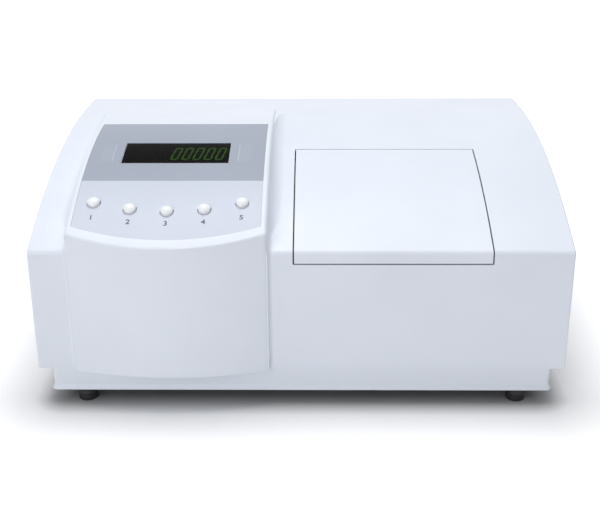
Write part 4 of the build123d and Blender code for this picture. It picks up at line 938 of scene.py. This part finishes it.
# %% [markdown]
# The bars of all digits are one mesh, so they are told apart by where they lie. Sorted by x, with
# the digits' lean taken out, each seven bars make a digit. In a digit the bar nearest to the row's
# middle height is its crossbar, which stays dark, so each lit digit shows a nought.

# %% Display digits
BARS_PER_DIGIT = 7
DIGITS = 8
LIT_DIGITS = 5
DIGIT_LEAN = math.radians(10.0)
CROSSBAR_ROOM = 0.0005

digits_mesh = merged_copy("display_digits")
digit_points = points_of(digits_mesh)
bar_of_point = loose_pieces(digits_mesh)
bars = bar_of_point.max() + 1
bar_middle = np.array([digit_points[bar_of_point == bar].mean(axis=0) for bar in range(bars)])
upright_x = bar_middle[:, 0] - (bar_middle[:, 1] - bar_middle[:, 1].mean()) * math.tan(DIGIT_LEAN)
from_left = np.argsort(upright_x).reshape(DIGITS, BARS_PER_DIGIT)
lit_bar = np.zeros(bars, bool)
for digit in from_left[-LIT_DIGITS:]:
    off_middle = np.abs(bar_middle[digit, 1] - np.median(bar_middle[:, 1]))
    lit_bar[digit[off_middle > off_middle.min() + CROSSBAR_ROOM]] = True
is_lit = lit_bar[bar_of_point]

bar_piece = show("lit_bars", share_of(digits_mesh, is_lit, "lit_bars"), lit.material, "housing")
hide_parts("display_digits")
show("unlit_bars", share_of(digits_mesh, ~is_lit, "unlit_bars"), unlit, "housing")
print("bars:", bars, "lit:", int(lit_bar.sum()))

# %% [markdown]
# The floor is a white sweep and the background is white. Both get their last bit of white only
# where the camera, a gloss or a glass looks at them, so the object isn't lit by it. Close to the
# pan the sweep's colour is darker and gets none of that white: a painted shadow under the
# instrument, deeper than the one its lamps cast.

# %% Floor
FLOOR_WHITE = (0.88, 0.88, 0.88)
# The colour of the painted shadow on the sweep, right at the pan's outline.
PAINTED_SHADOW_COLOUR = (0.20, 0.20, 0.20)
FLOOR_REACH = 8.0
PAINTED_SHADOW_INSET = 0.018
PAINTED_SHADOW_REACH = 0.046
WHITE_START = 0.02
WHITE_REACH = 0.30
UNLIFTED = (0.0, 0.0, 0.0)
LIFTED = (0.9, 0.9, 0.9)


def seen_directly(tree):
    """1 where a ray comes from the camera, a reflection or a clear pass, and 0 for the light that falls."""
    path = tree.nodes.new("ShaderNodeLightPath")
    kinds = [Value(tree, path.outputs[f"Is {kind} Ray"]) for kind in ("Camera", "Glossy", "Transmission")]
    return (kinds[0] + kinds[1] + kinds[2]).math("MINIMUM", 1.0)


def floor_finish():
    """A white sweep with a painted shadow: its colour darker round the pan's outline, and lifted to full
    white away from it.

    The distance from the outline is the length of (how far x is past it, how far y is past it).
    """
    f = Finish("floor_white_painted_shadow", FLOOR_WHITE, 0.9, Emission_Strength=1.0)
    where, (x, y, _) = f.place()
    middle, half = (pan_low + pan_high) / 2, (pan_high - pan_low) / 2 - PAINTED_SHADOW_INSET
    past_x = ((x - float(middle[0])).math("ABSOLUTE") - float(half[0])).math("MAXIMUM", 0.0)
    past_y = ((y - float(middle[1])).math("ABSOLUTE") - float(half[1])).math("MAXIMUM", 0.0)
    distance = (past_x * past_x + past_y * past_y).math("SQRT")
    # Painted shadow: the sweep's colour runs from dark at the pan's outline to white a few centimetres out.
    f.connect(Base_Color=f.mix(distance.ramp(0.0, PAINTED_SHADOW_REACH), PAINTED_SHADOW_COLOUR, FLOOR_WHITE))
    f.connect(Roughness=f.noise(where, 12.0, detail=2.0) * 0.1 + 0.85)
    # Near the pan the white lift stays off too, so the painted shadow is not lightened.
    away = distance.ramp(WHITE_START, WHITE_REACH)
    return f.connect(Emission_Color=f.mix(seen_directly(f.tree) * away, UNLIFTED, LIFTED)).material


far = FLOOR_REACH
floor_mesh = bpy.data.meshes.new("floor")
floor_mesh.from_pydata([(-far, -far, 0), (far, -far, 0), (far, far, 0), (-far, far, 0)], [], [(0, 1, 2, 3)])
floor_mesh.materials.append(floor_finish())
floor = bpy.data.objects.new("floor", floor_mesh)
bpy.context.scene.collection.objects.link(floor)
print("floor ready")

# %% [markdown]
# The background lights the object softly from all round, and it is plain white to the camera. Two
# background shaders, mixed by the kind of ray, do both. One bright white would be simpler, but it
# would wash out the difference between the planes.

# %% Background
SKY_COLOUR = (0.95, 0.97, 1.0)
SKY_STRENGTH = 0.36

world = bpy.data.worlds.new("studio")
bpy.context.scene.world = world
world.use_nodes = True
world_tree = world.node_tree
world_tree.nodes.clear()


def background(colour, strength):
    """A background shader of one colour."""
    node = world_tree.nodes.new("ShaderNodeBackground")
    node.inputs["Color"].default_value = (*colour, 1.0)
    node.inputs["Strength"].default_value = strength
    return node.outputs[0]


mixer = world_tree.nodes.new("ShaderNodeMixShader")
output = world_tree.nodes.new("ShaderNodeOutputWorld")
world_tree.links.new(seen_directly(world_tree).socket, mixer.inputs[0])
world_tree.links.new(background(SKY_COLOUR, SKY_STRENGTH), mixer.inputs[1])
world_tree.links.new(background((1.0, 1.0, 1.0), 1.0), mixer.inputs[2])
world_tree.links.new(mixer.outputs[0], output.inputs[0])
print("background ready")

# %% [markdown]
# A product shot of a white box needs its planes apart in tone. A broad lamp overhead makes the roof
# the lightest plane, and a weaker one from the front left fills the front without washing out the
# shadow that the raised console throws to its right.

# %% Lamps
LAMP_SIZE = 1.6


def lamp(name, place, target, power, colour):
    """A square area lamp that faces its target. Its power is in watts."""
    data = bpy.data.lights.new(name, "AREA")
    data.size = LAMP_SIZE
    data.energy = power
    data.color = colour
    holder = bpy.data.objects.new(name, data)
    holder.location = place
    holder.rotation_euler = (Vector(target) - Vector(place)).to_track_quat("-Z", "Y").to_euler()
    bpy.context.scene.collection.objects.link(holder)


lamp("top_light", place=(-0.05, 0.15, 2.2), target=(0.0, 0.0, 0.2), power=27.0, colour=(0.98, 0.99, 1.0))
lamp("front_light", place=(-1.2, -2.4, 1.1), target=(0.0, 0.0, 0.15), power=19.5, colour=(1.0, 0.99, 1.0))
bpy.context.scene.view_settings.view_transform = "Standard"
print("lamps ready")
